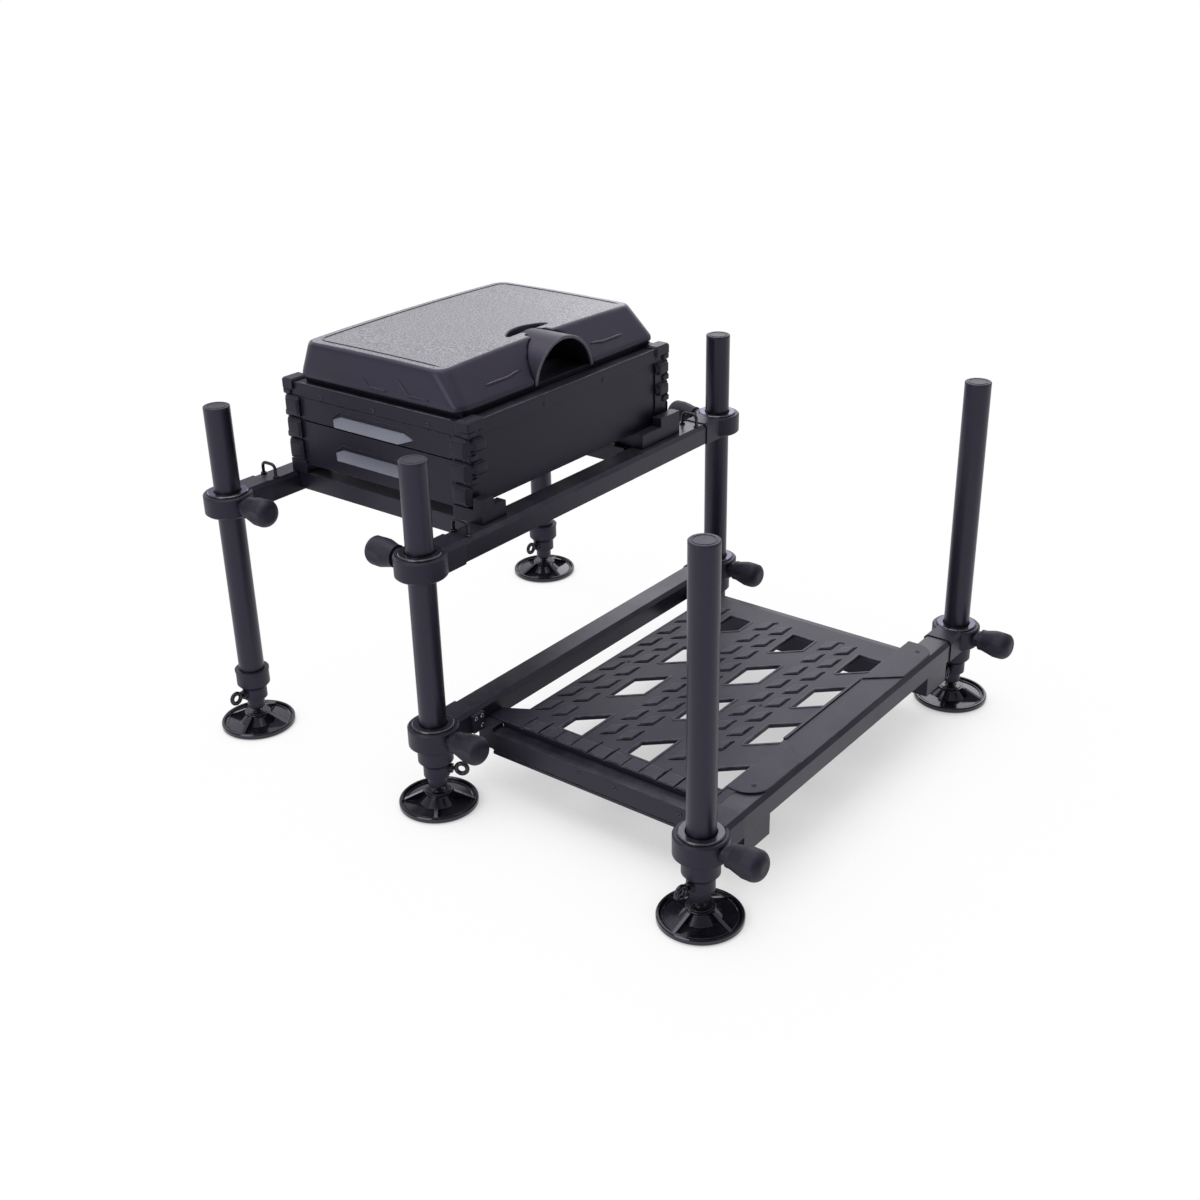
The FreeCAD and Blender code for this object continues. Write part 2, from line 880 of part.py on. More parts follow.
# Corner posts: a square core with knuckle blocks stacked up both outer faces
post_top = rim_bottom
post_core = box(-half_box, -post_inner_x, box_front, box_front + post_depth, floor_level, post_top)
knuckles = []
for level_number in range(3):
    low_z = post_top - knuckle_height - level_number * knuckle_pitch
    knuckles.append(end_knuckle(low_z, knuckle_height))
for level_number in range(2):
    low_z = floor_level + front_knuckle_rise + level_number * knuckle_pitch
    knuckles.append(front_knuckle(low_z, front_knuckle_height))
post_form = fuse(post_core, *knuckles)
post_rear = mirror(post_form, V(0, 1, 0), 0, box_middle)
posts = [post_form, post_rear, mirror(post_form, V(1, 0, 0)), mirror(post_rear, V(1, 0, 0))]
node("corner_posts", *posts)

# Rim frame round the top of the box, the tray floor in it, corner blocks and hinge knuckles
half_opening = half_box - rim_wall
opening_front = box_front + rim_front
opening_rear = box_rear - rim_rear
rim_outside = box(-half_box, half_box, box_front, box_rear, rim_bottom, rim_top)
rim_inside = box(-half_opening, half_opening, opening_front, opening_rear,
                 rim_bottom + tray_thickness, rim_top + 1)
rim_ring = cut(rim_outside, rim_inside)
block_left = -half_box - rim_block_stand
block_front = box_front - rim_block_stand
block_right = rim_block_width - half_box
block_outline = [
    (block_left, block_front + rim_block_bevel),
    (block_left + rim_block_bevel, block_front),
    (block_right - rim_block_bevel, block_front),
    (block_right, block_front + rim_block_bevel),
    (block_right, box_front + rim_block_depth),
    (block_left, box_front + rim_block_depth),
]
block_top = rim_top + rim_block_rise
rim_block = rounded(
    place(prism("XY_Plane", [block_outline], rim_block_height), 0, 0, block_top - rim_block_height),
    rim_block_bevel,
    lambda middle, edge: abs(middle.z - block_top.value) < 0.01,
    chamfer=True,
)
rim_block_rear = mirror(rim_block, V(0, 1, 0), 0, box_middle)
hinge_y = box_rear + hinge_stand
rim_knuckles = []
for side in (-1, 1):
    knuckle_x = side * (hinge_place + hinge_knuckle / 2) - hinge_knuckle / 2
    rim_knuckles.append(rod(hinge_barrel, hinge_knuckle, knuckle_x, hinge_y, hinge_level, along_x))
    rim_knuckles.append(box(knuckle_x, knuckle_x + hinge_knuckle, box_rear - hinge_leaf_lap, hinge_y,
                            rim_top - hinge_leaf, hinge_level))
pin_bore = rod(hinge_pin + pin_gap, (hinge_place + hinge_knuckle) * 2 + 2,
               -hinge_place - hinge_knuckle - 1, hinge_y, hinge_level, along_x)
rim_form = cut(
    fuse(rim_ring, rim_block, rim_block_rear, mirror(rim_block, V(1, 0, 0)),
         mirror(rim_block_rear, V(1, 0, 0)), *rim_knuckles),
    pin_bore,
)
node("rim_frame", rim_form)

# Lid base: a shallow shell that laps the rim, with hinge leaves and pins
half_lid = half_opening + lid_base_lap
lid_front = opening_front - lid_base_lap
lid_rear = opening_rear + lid_base_lap
lid_shell = cut(
    box(-half_lid, half_lid, lid_front, lid_rear, lid_base_bottom, lid_base_level),
    box(lid_base_wall - half_lid, half_lid - lid_base_wall, lid_front + lid_base_wall,
        lid_rear - lid_base_wall, lid_base_bottom - 1, lid_base_level - lid_base_top),
)
leaves = []
for side in (-1, 1):
    leaf_middle = side * (hinge_place - hinge_knuckle / 2 - free_gap)
    leaf_x = leaf_middle - hinge_knuckle / 2
    pin_x = side * (hinge_place - hinge_knuckle / 2) - hinge_knuckle * 1.5
    leaves.append(rod(hinge_barrel, hinge_knuckle, leaf_x, hinge_y, hinge_level, along_x))
    leaves.append(box(leaf_x, leaf_x + hinge_knuckle, lid_rear - hinge_leaf_lap, hinge_y,
                      hinge_level - hinge_leaf_thickness / 2, hinge_level + hinge_leaf_thickness / 2))
    leaves.append(rod(hinge_pin, hinge_knuckle * 3 - 1, pin_x + 0.5, hinge_y, hinge_level, along_x))
node("lid_base", fuse(lid_shell, *leaves))


def rounded_outline(x0, x1, y0, y1, z, corner):
    """A closed wire round a rectangle with arcs at its corners."""
    edges = []
    lines = [
        (V(x0 + corner, y0, z), V(x1 - corner, y0, z)),
        (V(x1, y0 + corner, z), V(x1, y1 - corner, z)),
        (V(x1 - corner, y1, z), V(x0 + corner, y1, z)),
        (V(x0, y1 - corner, z), V(x0, y0 + corner, z)),
    ]
    centres = [
        V(x1 - corner, y0 + corner, z),
        V(x1 - corner, y1 - corner, z),
        V(x0 + corner, y1 - corner, z),
        V(x0 + corner, y0 + corner, z),
    ]
    for number, (start, end) in enumerate(lines):
        edges.append(Part.makeLine(start, end))
        following = lines[(number + 1) % 4][0]
        outward = (end + following) * 0.5 - centres[number]
        middle = centres[number] + outward.normalize() * corner
        edges.append(Part.Arc(end, middle, following).toShape())
    return Part.Wire(edges)


def pad_shape():
    """The moulded cushion: sloping sides, a low crown, rounded edges and the hood's recess."""
    half = pad_length.value / 2
    front = box_front.value + pad_front_gap.value
    rear = front + pad_depth.value
    bottom = lid_base_level.value
    foot = bottom + pad_foot_height.value
    top = bottom + pad_height.value
    corner = pad_corner.value
    skirt = Part.makeLoft([
        rounded_outline(-half, half, front, rear, bottom, corner),
        rounded_outline(-half, half, front, rear, foot, corner),
    ], True, True)
    flank = Part.makeLoft([
        rounded_outline(-half, half, front, rear, foot, corner),
        rounded_outline(pad_end_slope.value - half, half - pad_end_slope.value,
                        front + pad_front_slope.value, rear - pad_rear_slope.value,
                        top + pad_crown_rise.value, corner + pad_edge_round.value),
    ], True, True)
    radius = (half ** 2 + pad_crown_rise.value ** 2) / (2 * pad_crown_rise.value)
    crown_y = (front + pad_front_slope.value + rear - pad_rear_slope.value) / 2
    crown_centre = V(0, crown_y, top - radius)
    crown = Part.makeSphere(radius, crown_centre, V(0, 1, 0))
    crown.rotate(crown_centre, V(0, 1, 0), 180)
    block = skirt.fuse(flank).removeSplitter().common(crown)
    upper = []
    for edge in block.Edges:
        middle = edge.valueAt((edge.FirstParameter + edge.LastParameter) / 2)
        if middle.z > top - pad_crown_rise.value * 3:
            upper.append(edge)
    block = block.makeFillet(pad_edge_round.value, upper)
    hood_centre = V(0, front - 1, bottom - hood_drop.value)
    recess = Part.makeCylinder(hood_radius.value + free_gap.value, hood_depth.value + 1 + free_gap.value,
                               hood_centre, V(0, 1, 0))
    half_slot = finger_slot_width.value / 2
    slot_front = front + hood_depth.value
    depth = finger_slot_depth.value
    slot_radius = (half_slot ** 2 + depth ** 2) / (2 * depth)
    slot_centre = V(0, slot_front + depth - slot_radius, bottom - 1)
    slot = Part.makeCylinder(slot_radius, pad_height.value * 2, slot_centre)
    ahead = Part.makeBox(slot_radius * 2, slot_radius * 2, pad_height.value * 2,
                         V(-slot_radius, slot_front - slot_radius * 2, bottom - 1))
    return block.cut(recess).cut(slot.cut(ahead))


seat_pad = doc.addObject("Part::Feature", "SeatPad")
seat_pad.Shape = pad_shape()
node("seat_pad", seat_pad)

# Carry handle: an arched hood in the front of the pad, open behind for the fingers
hood_front = box_front + pad_front_gap
hood_level = lid_base_level - hood_drop
hood_form = cut(
    rod(hood_radius, hood_depth, 0, hood_front, hood_level, along_y),
    rod(hood_radius - hood_wall, hood_depth + 2, 0, hood_front - 1, hood_level, along_y),
    box(-hood_radius - 1, hood_radius + 1, hood_front - 1, hood_front + hood_depth + 1,
        hood_level - hood_radius - 1, lid_base_level),
)
node("lid_handle", hood_form)


def hipped_lip(face, middle, level):
    """A lip with a sloping top, an undercut below and ends that run out to points."""
    ridge_z = (level + grip_rise).value
    point_z = (level + grip_point_rise).value
    edge_z = level.value
    edge_x = (face - grip_depth).value
    half_ridge = (grip_length / 2).value
    half_reach = half_ridge + grip_point_length.value
    ridge = [V(face.value, middle.value + side * half_ridge, ridge_z) for side in (-1, 1)]
    edge = [V(edge_x, middle.value + side * half_ridge, edge_z) for side in (-1, 1)]
    point = [V(face.value, middle.value + side * half_reach, point_z) for side in (-1, 1)]
    outlines = [
        [ridge[0], ridge[1], edge[1], edge[0]],
        [edge[0], edge[1], point[1], point[0]],
        [ridge[1], ridge[0], point[0], point[1]],
        [ridge[0], edge[0], point[0]],
        [ridge[1], point[1], edge[1]],
    ]
    faces = [Part.Face(Part.makePolygon(outline + outline[:1])) for outline in outlines]
    solid = Part.Solid(Part.Shell(faces))
    if solid.Volume < 0:
        solid.reverse()
    lip = doc.addObject("Part::Feature", "Lip")
    lip.Shape = solid
    return lip


def drawer(bottom, top, front_bottom, front_top, grip_level, name):
    """A tray with a front plate, a shallow pocket in the plate and the grip lip below it."""
    face = -half_box - panel_gap
    back_of_front = face + drawer_front
    tray_end = back_of_front + drawer_length
    half_tray = drawer_side
    tray = box(back_of_front, tray_end, box_middle - half_tray, box_middle + half_tray, bottom, top)
    wall = drawer_wall
    hollow = box(back_of_front + wall, tray_end - wall, box_middle - half_tray + wall,
                 box_middle + half_tray - wall, bottom + wall, top + 1)
    half_front = post_inner_y - panel_gap
    plate = box(face, back_of_front, box_middle - half_front, box_middle + half_front,
                front_bottom, front_top)
    middle = box_middle + grip_offset
    half_grip = grip_length / 2
    ridge = grip_level + grip_rise
    pocket_bottom = grip_level + grip_point_rise - grip_pocket_depth / 2
    half_pocket = half_grip + grip_point_length + panel_gap * 2
    pocket_outline = [
        (middle - half_grip, ridge + grip_pocket_height),
        (middle + half_grip, ridge + grip_pocket_height),
        (middle + half_pocket, pocket_bottom),
        (middle - half_pocket, pocket_bottom),
    ]
    pocket = place(prism("YZ_Plane", [pocket_outline], grip_pocket_depth + 1), face - 1)
    node(f"{name}_drawer", fuse(cut(tray, hollow), cut(plate, pocket)))
    node(f"{name}_drawer_grip", hipped_lip(face + grip_pocket_depth, middle, grip_level))


drawer(lower_drawer_bottom, lower_drawer_bottom + lower_drawer_height, floor_level - front_drop,
       floor_level + front_split_rise, floor_level + lower_grip_rise, "lower")
drawer(upper_drawer_bottom, upper_drawer_bottom + upper_drawer_height,
       floor_level + front_split_rise + front_split, rim_bottom - panel_gap,
       floor_level + upper_grip_rise, "upper")

# Footplate beams with their collars and liners
node(
    "platform_beams",
    copy(rail_form, 0, front_y, platform_beam_level),
    copy(rail_form, 0, platform_y, platform_beam_level),
)
node(
    "lower_collars",
    copy(collar_form, LEFT, front_y, platform_beam_level),
    copy(collar_mirrored, RIGHT, front_y, platform_beam_level, half_turn),
    copy(collar_form, LEFT, platform_y, platform_beam_level),
    copy(collar_mirrored, RIGHT, platform_y, platform_beam_level, half_turn),
)
node(
    "lower_liners",
    copy(liner_form, LEFT, front_y, platform_beam_level),
    copy(liner_form, RIGHT, front_y, platform_beam_level, half_turn),
    copy(liner_form, LEFT, platform_y, platform_beam_level),
    copy(liner_form, RIGHT, platform_y, platform_beam_level, half_turn),
)

# Side rails: wide hollow rails under the edges of the plate, hung below both beams, with a
# long groove low on the outer face and a bracket up to the inner beam
side_rail_place = half_span - side_rail_inset
half_plate = side_rail_place - plate_inset
beam_half = rail_width / 2
beam_bottom = platform_beam_level - rail_height / 2
beam_top = platform_beam_level + rail_height / 2
side_top = beam_bottom
side_bottom = side_top - side_rail_height
side_inner = side_rail_place - side_rail_width
side_inner_end = front_y - beam_half - bracket_length
side_outer_end = platform_y - beam_half + side_rail_wall
groove_low = side_bottom + side_rail_groove_rise
side_rail_run = side_inner_end - side_outer_end
side_outline = [
    (side_inner, side_bottom),
    (side_rail_place, side_bottom),
    (side_rail_place, groove_low),
    (side_rail_place - side_rail_groove, groove_low),
    (side_rail_place - side_rail_groove, groove_low + side_rail_groove),
    (side_rail_place, groove_low + side_rail_groove),
    (side_rail_place, side_top),
    (side_inner, side_top),
]
side_outside = place(prism("XZ_Plane", [side_outline], side_rail_run), 0, side_inner_end)
side_wall = side_rail_wall + side_rail_groove
side_inside = box(side_inner + side_rail_wall, side_rail_place - side_wall,
                  side_outer_end + side_rail_wall, side_inner_end + 1,
                  side_bottom + side_rail_wall, side_top - side_rail_wall)
bracket = box(half_plate + free_gap, side_rail_place, side_inner_end, front_y - beam_half,
              side_bottom + bracket_rise, side_top + bracket_rise)
side_rail = fuse(cut(side_outside, side_inside), bracket)
node("side_rails", side_rail, mirror(side_rail, V(1, 0, 0)))

# Tread plate: a ribbed panel with slanted holes and short tread grooves
plate_body = doc.addObject("PartDesign::Body", "TreadPlate")
plate_level = side_top + plate_stand
plate_front = -beam_half
plate_edge = plate_front - plate_slot_width
plate_rear = beam_half - platform_reach
half_slot = half_plate - plate_slot_inset
outline_sketch = sketch(plate_body, "XY_Plane", [[
    (-half_plate, plate_front),
    (-half_slot, plate_front),
    (plate_slot_slant - half_slot, plate_edge),
    (half_slot - plate_slot_slant, plate_edge),
    (half_slot, plate_front),
    (half_plate, plate_front),
    (half_plate, plate_rear),
    (-half_plate, plate_rear),
]])
panel = plate_body.newObject("PartDesign::Pad", "Panel")
panel.Profile = outline_sketch
bind(panel, "Length", plate_thickness)
panel.Reversed = True


def slanted_hole(start):
    """A hole whose sides slant toward +X on the way to the outer beam."""
    return [
        (start, -hole_first_row),
        (start + hole_width, -hole_first_row),
        (start + hole_width + hole_slant, -hole_first_row - hole_depth),
        (start + hole_slant, -hole_first_row - hole_depth),
    ]


hole_start = hole_middle - hole_pitch_x
left_edge = end_hole_inset - half_plate
right_edge = half_plate - last_hole_inset
hole_loops = [
    slanted_hole(hole_start),
    slanted_hole(hole_start + hole_pitch_x),
    [
        (left_edge, -hole_first_row),
        (left_edge + end_hole_width, -hole_first_row),
        (left_edge + end_hole_width + hole_slant, -hole_first_row - hole_depth),
        (left_edge, -hole_first_row - hole_depth),
    ],
    [
        (hole_start + hole_pitch_x * 2, -hole_first_row),
        (right_edge, -hole_first_row),
        (right_edge, -hole_first_row - hole_depth),
        (hole_start + hole_pitch_x * 2 + hole_slant, -hole_first_row - hole_depth),
    ],
]
hole_sketch = sketch(plate_body, "XY_Plane", hole_loops)
holes = plate_body.newObject("PartDesign::Pocket", "Holes")
holes.Profile = hole_sketch
bind(holes, "Length", plate_thickness * 2)
hole_rows = plate_body.newObject("PartDesign::LinearPattern", "HoleRows")
hole_rows.Originals = [holes]
hole_rows.Direction = (plane(plate_body, "Y_Axis"), [""])
hole_rows.Reversed = True
hole_rows.Occurrences = 3
bind(hole_rows, "Length", hole_pitch_y * 2)
plate_body.Tip = hole_rows
groove_loops = []
for pair in range(3):
    for row_in_pair in range(2):
        start_x = groove_inset - half_plate
        start_y = -groove_first_row - pair * hole_pitch_y - row_in_pair * groove_row_step
        bend_x = start_x + groove_slant
        bend_y = start_y - groove_slant
        groove_loops.append([
            (start_x, start_y),
            (start_x + groove_width * 1.4, start_y),
            (bend_x + groove_width * 0.4, bend_y),
            (bend_x + groove_run, bend_y),
            (bend_x + groove_run, bend_y - groove_width),
            (bend_x - groove_width * 0.6, bend_y - groove_width),
        ])
groove_sketch = sketch(plate_body, "XY_Plane", groove_loops)
grooves = plate_body.newObject("PartDesign::Pocket", "Grooves")
grooves.Profile = groove_sketch
bind(grooves, "Length", groove_depth)
groove_columns = plate_body.newObject("PartDesign::LinearPattern", "GrooveColumns")
groove_columns.Originals = [grooves]
groove_columns.Direction = (plane(plate_body, "X_Axis"), [""])
groove_columns.Mode = "Spacing"
bind(groove_columns, "Offset", groove_pitch)
groove_room = half_plate * 2 - groove_inset - groove_slant - groove_run
groove_columns.setExpression("Occurrences", f"floor({(groove_room / groove_pitch).text}) + 1")
plate_body.Tip = groove_columns
edge_loops = []
for pair in range(3):
    for row_in_pair in range(2):
        run_y = -groove_first_row - pair * hole_pitch_y - row_in_pair * groove_row_step - groove_slant
        edge_loops.append([
            (-half_plate, run_y),
            (edge_groove_run - half_plate, run_y),
            (edge_groove_run - half_plate, run_y - groove_width),
            (-half_plate, run_y - groove_width),
        ])
edge_sketch = sketch(plate_body, "XY_Plane", edge_loops)
edge_grooves = plate_body.newObject("PartDesign::Pocket", "EdgeGrooves")
edge_grooves.Profile = edge_sketch
bind(edge_grooves, "Length", groove_depth)
plate_body.Tip = edge_grooves
place(plate_body, 0, front_y, plate_level)
flange_top = plate_level - plate_thickness
flanges = []
for side in (-1, 1):
    outside_x = side * half_plate
    inside_x = side * (half_plate - plate_flange_wall)
    low_x = outside_x if side < 0 else inside_x
    flanges.append(box(low_x, low_x + plate_flange_wall, platform_y + beam_half, side_inner_end,
                       side_top, flange_top))
node("tread_plate", fuse(plate_body, *flanges))

# Cover plate on the outer beam, with a narrow tongue at each end
half_cover = cover_length / 2
half_tongue = cover_tongue_width / 2
cover_inner = beam_half + cover_offset
cover_outer = cover_inner - cover_width
tongue_middle = half_cover - half_tongue
tongue_root = half_cover - cover_tongue_length
shoulder_x = half_cover - cover_tongue_length * 1.5
cover_outline = [
    (-tongue_middle, half_tongue),
    (-tongue_root, half_tongue),
    (-shoulder_x, cover_inner),
    (shoulder_x, cover_inner),
    (tongue_root, half_tongue),
    (tongue_middle, half_tongue),
    (tongue_middle, -half_tongue),
    (half_cover - cover_corner, cover_outer),
    (cover_corner - half_cover, cover_outer),
    (-tongue_middle, -half_tongue),
]
cover = fuse(
    place(prism("XY_Plane", [cover_outline], cover_thickness), 0, platform_y, beam_top),
    rod(half_tongue, cover_thickness, -tongue_middle, platform_y, beam_top),
    rod(half_tongue, cover_thickness, tongue_middle, platform_y, beam_top),
)
node("cover_plate", cover)

doc.recompute()
for thing in doc.Objects:
    if "Invalid" in thing.State or "Error" in thing.State:
        raise RuntimeError(f"{thing.Name} ({thing.Label}) failed: {thing.State}")
for piece in nodes:
    shape = piece.Shape
    if shape.isNull() or not shape.isValid() or not shape.Solids or shape.Volume <= 0:
        raise RuntimeError(f"{piece.Label} has no valid shape")

os.makedirs("parts", exist_ok=True)
for piece in nodes:
    piece.Shape.exportStep(f"parts/{piece.Label}.step")
print(len(nodes), "nodes written")
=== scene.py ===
import math

import bmesh
import bpy
from mathutils import Matrix, Vector
from mathutils.bvhtree import BVHTree


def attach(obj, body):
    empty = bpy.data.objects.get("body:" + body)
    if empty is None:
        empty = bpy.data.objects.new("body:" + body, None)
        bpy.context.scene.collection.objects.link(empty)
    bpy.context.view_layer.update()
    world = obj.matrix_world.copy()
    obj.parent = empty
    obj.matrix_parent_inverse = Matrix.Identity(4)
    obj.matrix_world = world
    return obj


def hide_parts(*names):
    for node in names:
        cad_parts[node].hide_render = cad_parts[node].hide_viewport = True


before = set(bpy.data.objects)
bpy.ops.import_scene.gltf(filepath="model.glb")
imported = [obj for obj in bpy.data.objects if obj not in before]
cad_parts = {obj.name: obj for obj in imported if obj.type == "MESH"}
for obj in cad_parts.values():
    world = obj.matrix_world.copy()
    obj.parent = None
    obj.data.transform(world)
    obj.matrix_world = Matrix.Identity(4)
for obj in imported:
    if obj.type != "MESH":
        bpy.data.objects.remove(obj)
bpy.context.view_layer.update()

# The seat box stands in a white studio.
# The camera is to the left in front of the footplate and looks down on it, as a person would
# who walks up to it.
def linked(thing):
    """Puts an object in the scene and gives it back."""
    bpy.context.scene.collection.objects.link(thing)
    return thing


camera_data = bpy.data.cameras.new("camera")
camera_data.lens = 44.96
camera_data.sensor_width = 36
camera_data.clip_end = 60
camera = linked(bpy.data.objects.new("camera", camera_data))
bpy.context.scene.camera = camera
camera_place = Vector((-1.5207, -1.1746, 1.1041))
heading = math.radians(38.258)
tilt = math.radians(-25.587)
lean = math.radians(-1.269)
ahead = Vector((
    math.cos(heading) * math.cos(tilt),
    math.sin(heading) * math.cos(tilt),
    math.sin(tilt),
))
level_right = Vector((math.sin(heading), -math.cos(heading), 0))
level_up = level_right.cross(ahead)
camera_right = math.cos(lean) * level_right + math.sin(lean) * level_up
camera_up = math.cos(lean) * level_up - math.sin(lean) * level_right
turn = Matrix((camera_right, camera_up, -ahead)).transposed()
camera.matrix_world = Matrix.Translation(camera_place) @ turn.to_4x4()
bpy.context.scene.view_settings.view_transform = "Standard"


# Four square lamps light the object, the largest from above.
# The room is bright behind the object and dim on the camera's side, which keeps the sides that
# face the camera dark and lets the tops shine.
def softbox(name, place, target, size, power):
    """A square studio lamp that looks at a point of the object."""
    lamp = bpy.data.lights.new(name, "AREA")
    lamp.shape = "SQUARE"
    lamp.size = size
    lamp.energy = power
    stand = linked(bpy.data.objects.new(name, lamp))
    stand.location = place
    stand.rotation_mode = "QUATERNION"
    stand.rotation_quaternion = (Vector(target) - Vector(place)).to_track_quat("-Z", "Y")


seat_centre = (0, 0, 0.3)
softbox("overhead_softbox", (-0.2, 0.4, 2.6), seat_centre, 2.2, 30)
softbox("left_softbox", (-2.6, 0.2, 1.5), seat_centre, 1.6, 27)
softbox("right_softbox", (2.8, 1.15, 1.6), seat_centre, 2.0, 21)
softbox("rear_softbox", (0.2, 3.0, 1.3), seat_centre, 1.3, 10)

BRIGHT_SIDE = (0.70, 0.51, 0.50)
world = bpy.data.worlds.new("studio")
bpy.context.scene.world = world
world.use_nodes = True
world_tree = world.node_tree
room_light = world_tree.nodes["Background"]
room_light.inputs["Color"].default_value = (0.96, 0.94, 1, 1)
way = world_tree.nodes.new("ShaderNodeTexCoord")
toward_back = world_tree.nodes.new("ShaderNodeVectorMath")
toward_back.operation = "DOT_PRODUCT"
toward_back.inputs[1].default_value = BRIGHT_SIDE
room_level = world_tree.nodes.new("ShaderNodeMapRange")
room_level.inputs["From Min"].default_value = -0.4
room_level.inputs["From Max"].default_value = 0.8
room_level.inputs["To Min"].default_value = 0.10
room_level.inputs["To Max"].default_value = 0.8
white_view = world_tree.nodes.new("ShaderNodeBackground")
white_view.inputs["Color"].default_value = (1, 1, 1, 1)
ray = world_tree.nodes.new("ShaderNodeLightPath")
straight = world_tree.nodes.new("ShaderNodeMath")
straight.operation = "MAXIMUM"
choose = world_tree.nodes.new("ShaderNodeMixShader")
world_tree.links.new(way.outputs["Generated"], toward_back.inputs[0])
world_tree.links.new(toward_back.outputs["Value"], room_level.inputs["Value"])
world_tree.links.new(room_level.outputs["Result"], room_light.inputs["Strength"])
world_tree.links.new(ray.outputs["Is Camera Ray"], straight.inputs[0])
world_tree.links.new(ray.outputs["Is Transmission Ray"], straight.inputs[1])
world_tree.links.new(straight.outputs[0], choose.inputs[0])
world_tree.links.new(room_light.outputs[0], choose.inputs[1])
world_tree.links.new(white_view.outputs[0], choose.inputs[2])
world_tree.links.new(choose.outputs[0], world_tree.nodes["World Output"].inputs["Surface"])

# The floor is a sheet of white board, much larger than what is seen of it.
# It stays white far away. Close by, an ambient occlusion mask dims its glow round the feet
# and the footplate: a painted shadow laid over their real soft shadow.
FLOOR_HALF = 24
FLOOR_DROP = 0.0004
floor_mesh = bpy.data.meshes.new("floor")
floor_shape = bmesh.new()
bmesh.ops.create_grid(floor_shape, x_segments=24, y_segments=24, size=FLOOR_HALF)
floor_shape.to_mesh(floor_mesh)
floor_shape.free()
floor = linked(bpy.data.objects.new("floor", floor_mesh))
floor.location.z = -FLOOR_DROP


class Finish:
    """A material under construction: its nodes, its shader and short ways to wire them."""

    def __init__(self, name):
        self.material = bpy.data.materials.new(name)
        self.material.use_nodes = True
        self.tree = self.material.node_tree
        self.shader = self.tree.nodes["Principled BSDF"]

    def add(self, kind, **settings):
        node = self.tree.nodes.new(kind)
        for key, value in settings.items():
            setattr(node, key, value)
        return node

    def wire(self, source, target):
        self.tree.links.new(source, target)

    def set(self, **values):
        for key, value in values.items():
            self.shader.inputs[key.replace("_", " ")].default_value = value


board = Finish("white_board")
board.set(Base_Color=(0.8, 0.8, 0.81, 1), Roughness=0.7)
board_ray = board.add("ShaderNodeLightPath")
board_glow = board.add("ShaderNodeEmission")
board_place = board.add("ShaderNodeTexCoord")
board_distance = board.add("ShaderNodeVectorMath", operation="LENGTH")
board_fade = board.add("ShaderNodeMapRange", interpolation_type="SMOOTHSTEP")
board_share = board.add("ShaderNodeMath", operation="MULTIPLY")
board_seen = board.add("ShaderNodeMath", operation="ADD", use_clamp=True)
board_mix = board.add("ShaderNodeMixShader")
board_back = board.add("ShaderNodeNewGeometry")
board_clear = board.add("ShaderNodeBsdfTransparent")
board_side = board.add("ShaderNodeMixShader")
# Painted shadow: where ambient occlusion finds the object close, less glow is used and the floor
# turns grey.
floor_occlusion = board.add("ShaderNodeAmbientOcclusion", samples=8)
floor_occlusion.inputs["Distance"].default_value = 0.32
floor_painted_shadow = board.add("ShaderNodeMapRange", interpolation_type="SMOOTHSTEP")
floor_painted_shadow.inputs["From Min"].default_value = 0.25
floor_painted_shadow.inputs["From Max"].default_value = 0.95
floor_painted_shadow.inputs["To Min"].default_value = 0.45
floor_painted_shadow.inputs["To Max"].default_value = 0.985
board_fade.inputs["From Min"].default_value = 0.6
board_fade.inputs["From Max"].default_value = 1.4
board_fade.inputs["To Max"].default_value = 1
board.wire(board_place.outputs["Object"], board_distance.inputs[0])
board.wire(board_distance.outputs["Value"], board_fade.inputs["Value"])
board.wire(floor_occlusion.outputs["AO"], floor_painted_shadow.inputs["Value"])
board.wire(floor_painted_shadow.outputs["Result"], board_fade.inputs["To Min"])
board.wire(board_fade.outputs["Result"], board_share.inputs[0])
board.wire(board_ray.outputs["Is Camera Ray"], board_seen.inputs[0])
board.wire(board_ray.outputs["Is Glossy Ray"], board_seen.inputs[1])
board.wire(board_seen.outputs[0], board_share.inputs[1])
board.wire(board_share.outputs[0], board_mix.inputs[0])
board.wire(board.shader.outputs[0], board_mix.inputs[1])
board.wire(board_glow.outputs[0], board_mix.inputs[2])
board.wire(board_back.outputs["Backfacing"], board_side.inputs[0])
board.wire(board_mix.outputs[0], board_side.inputs[1])
board.wire(board_clear.outputs[0], board_side.inputs[2])
board.wire(board_side.outputs[0], board.tree.nodes["Material Output"].inputs["Surface"])
floor_mesh.materials.append(board.material)

# The six legs are drawn aluminium tubes with a black anodised skin.
# Drawing leaves faint lines along the tube; handling and the collars polish its skin a little.
LEG_TOP = 0.486
FRONT_Y = 0.046
REAR_Y = 0.4085
PLATFORM_Y = -0.375
HALF_SPAN = 0.329
legs = {
    "rear_left": (-HALF_SPAN, REAR_Y),
    "front_left": (-HALF_SPAN, FRONT_Y),
    "front_right": (HALF_SPAN, FRONT_Y),
    "rear_right": (HALF_SPAN, REAR_Y),
    "platform_left": (-HALF_SPAN, PLATFORM_Y),
    "platform_right": (HALF_SPAN, PLATFORM_Y),
}


def effect(name, takes, gives):
    """An empty shader group with named sockets, and its inner ends."""
    tree = bpy.data.node_groups.new(name, "ShaderNodeTree")
    for label, kind, value in takes:
        socket = tree.interface.new_socket(label, in_out="INPUT", socket_type=kind)
        socket.default_value = value
    for label, kind in gives:
        tree.interface.new_socket(label, in_out="OUTPUT", socket_type=kind)
    return tree, tree.nodes.new("NodeGroupInput"), tree.nodes.new("NodeGroupOutput")


FLOAT = "NodeSocketFloat"
VECTOR = "NodeSocketVector"


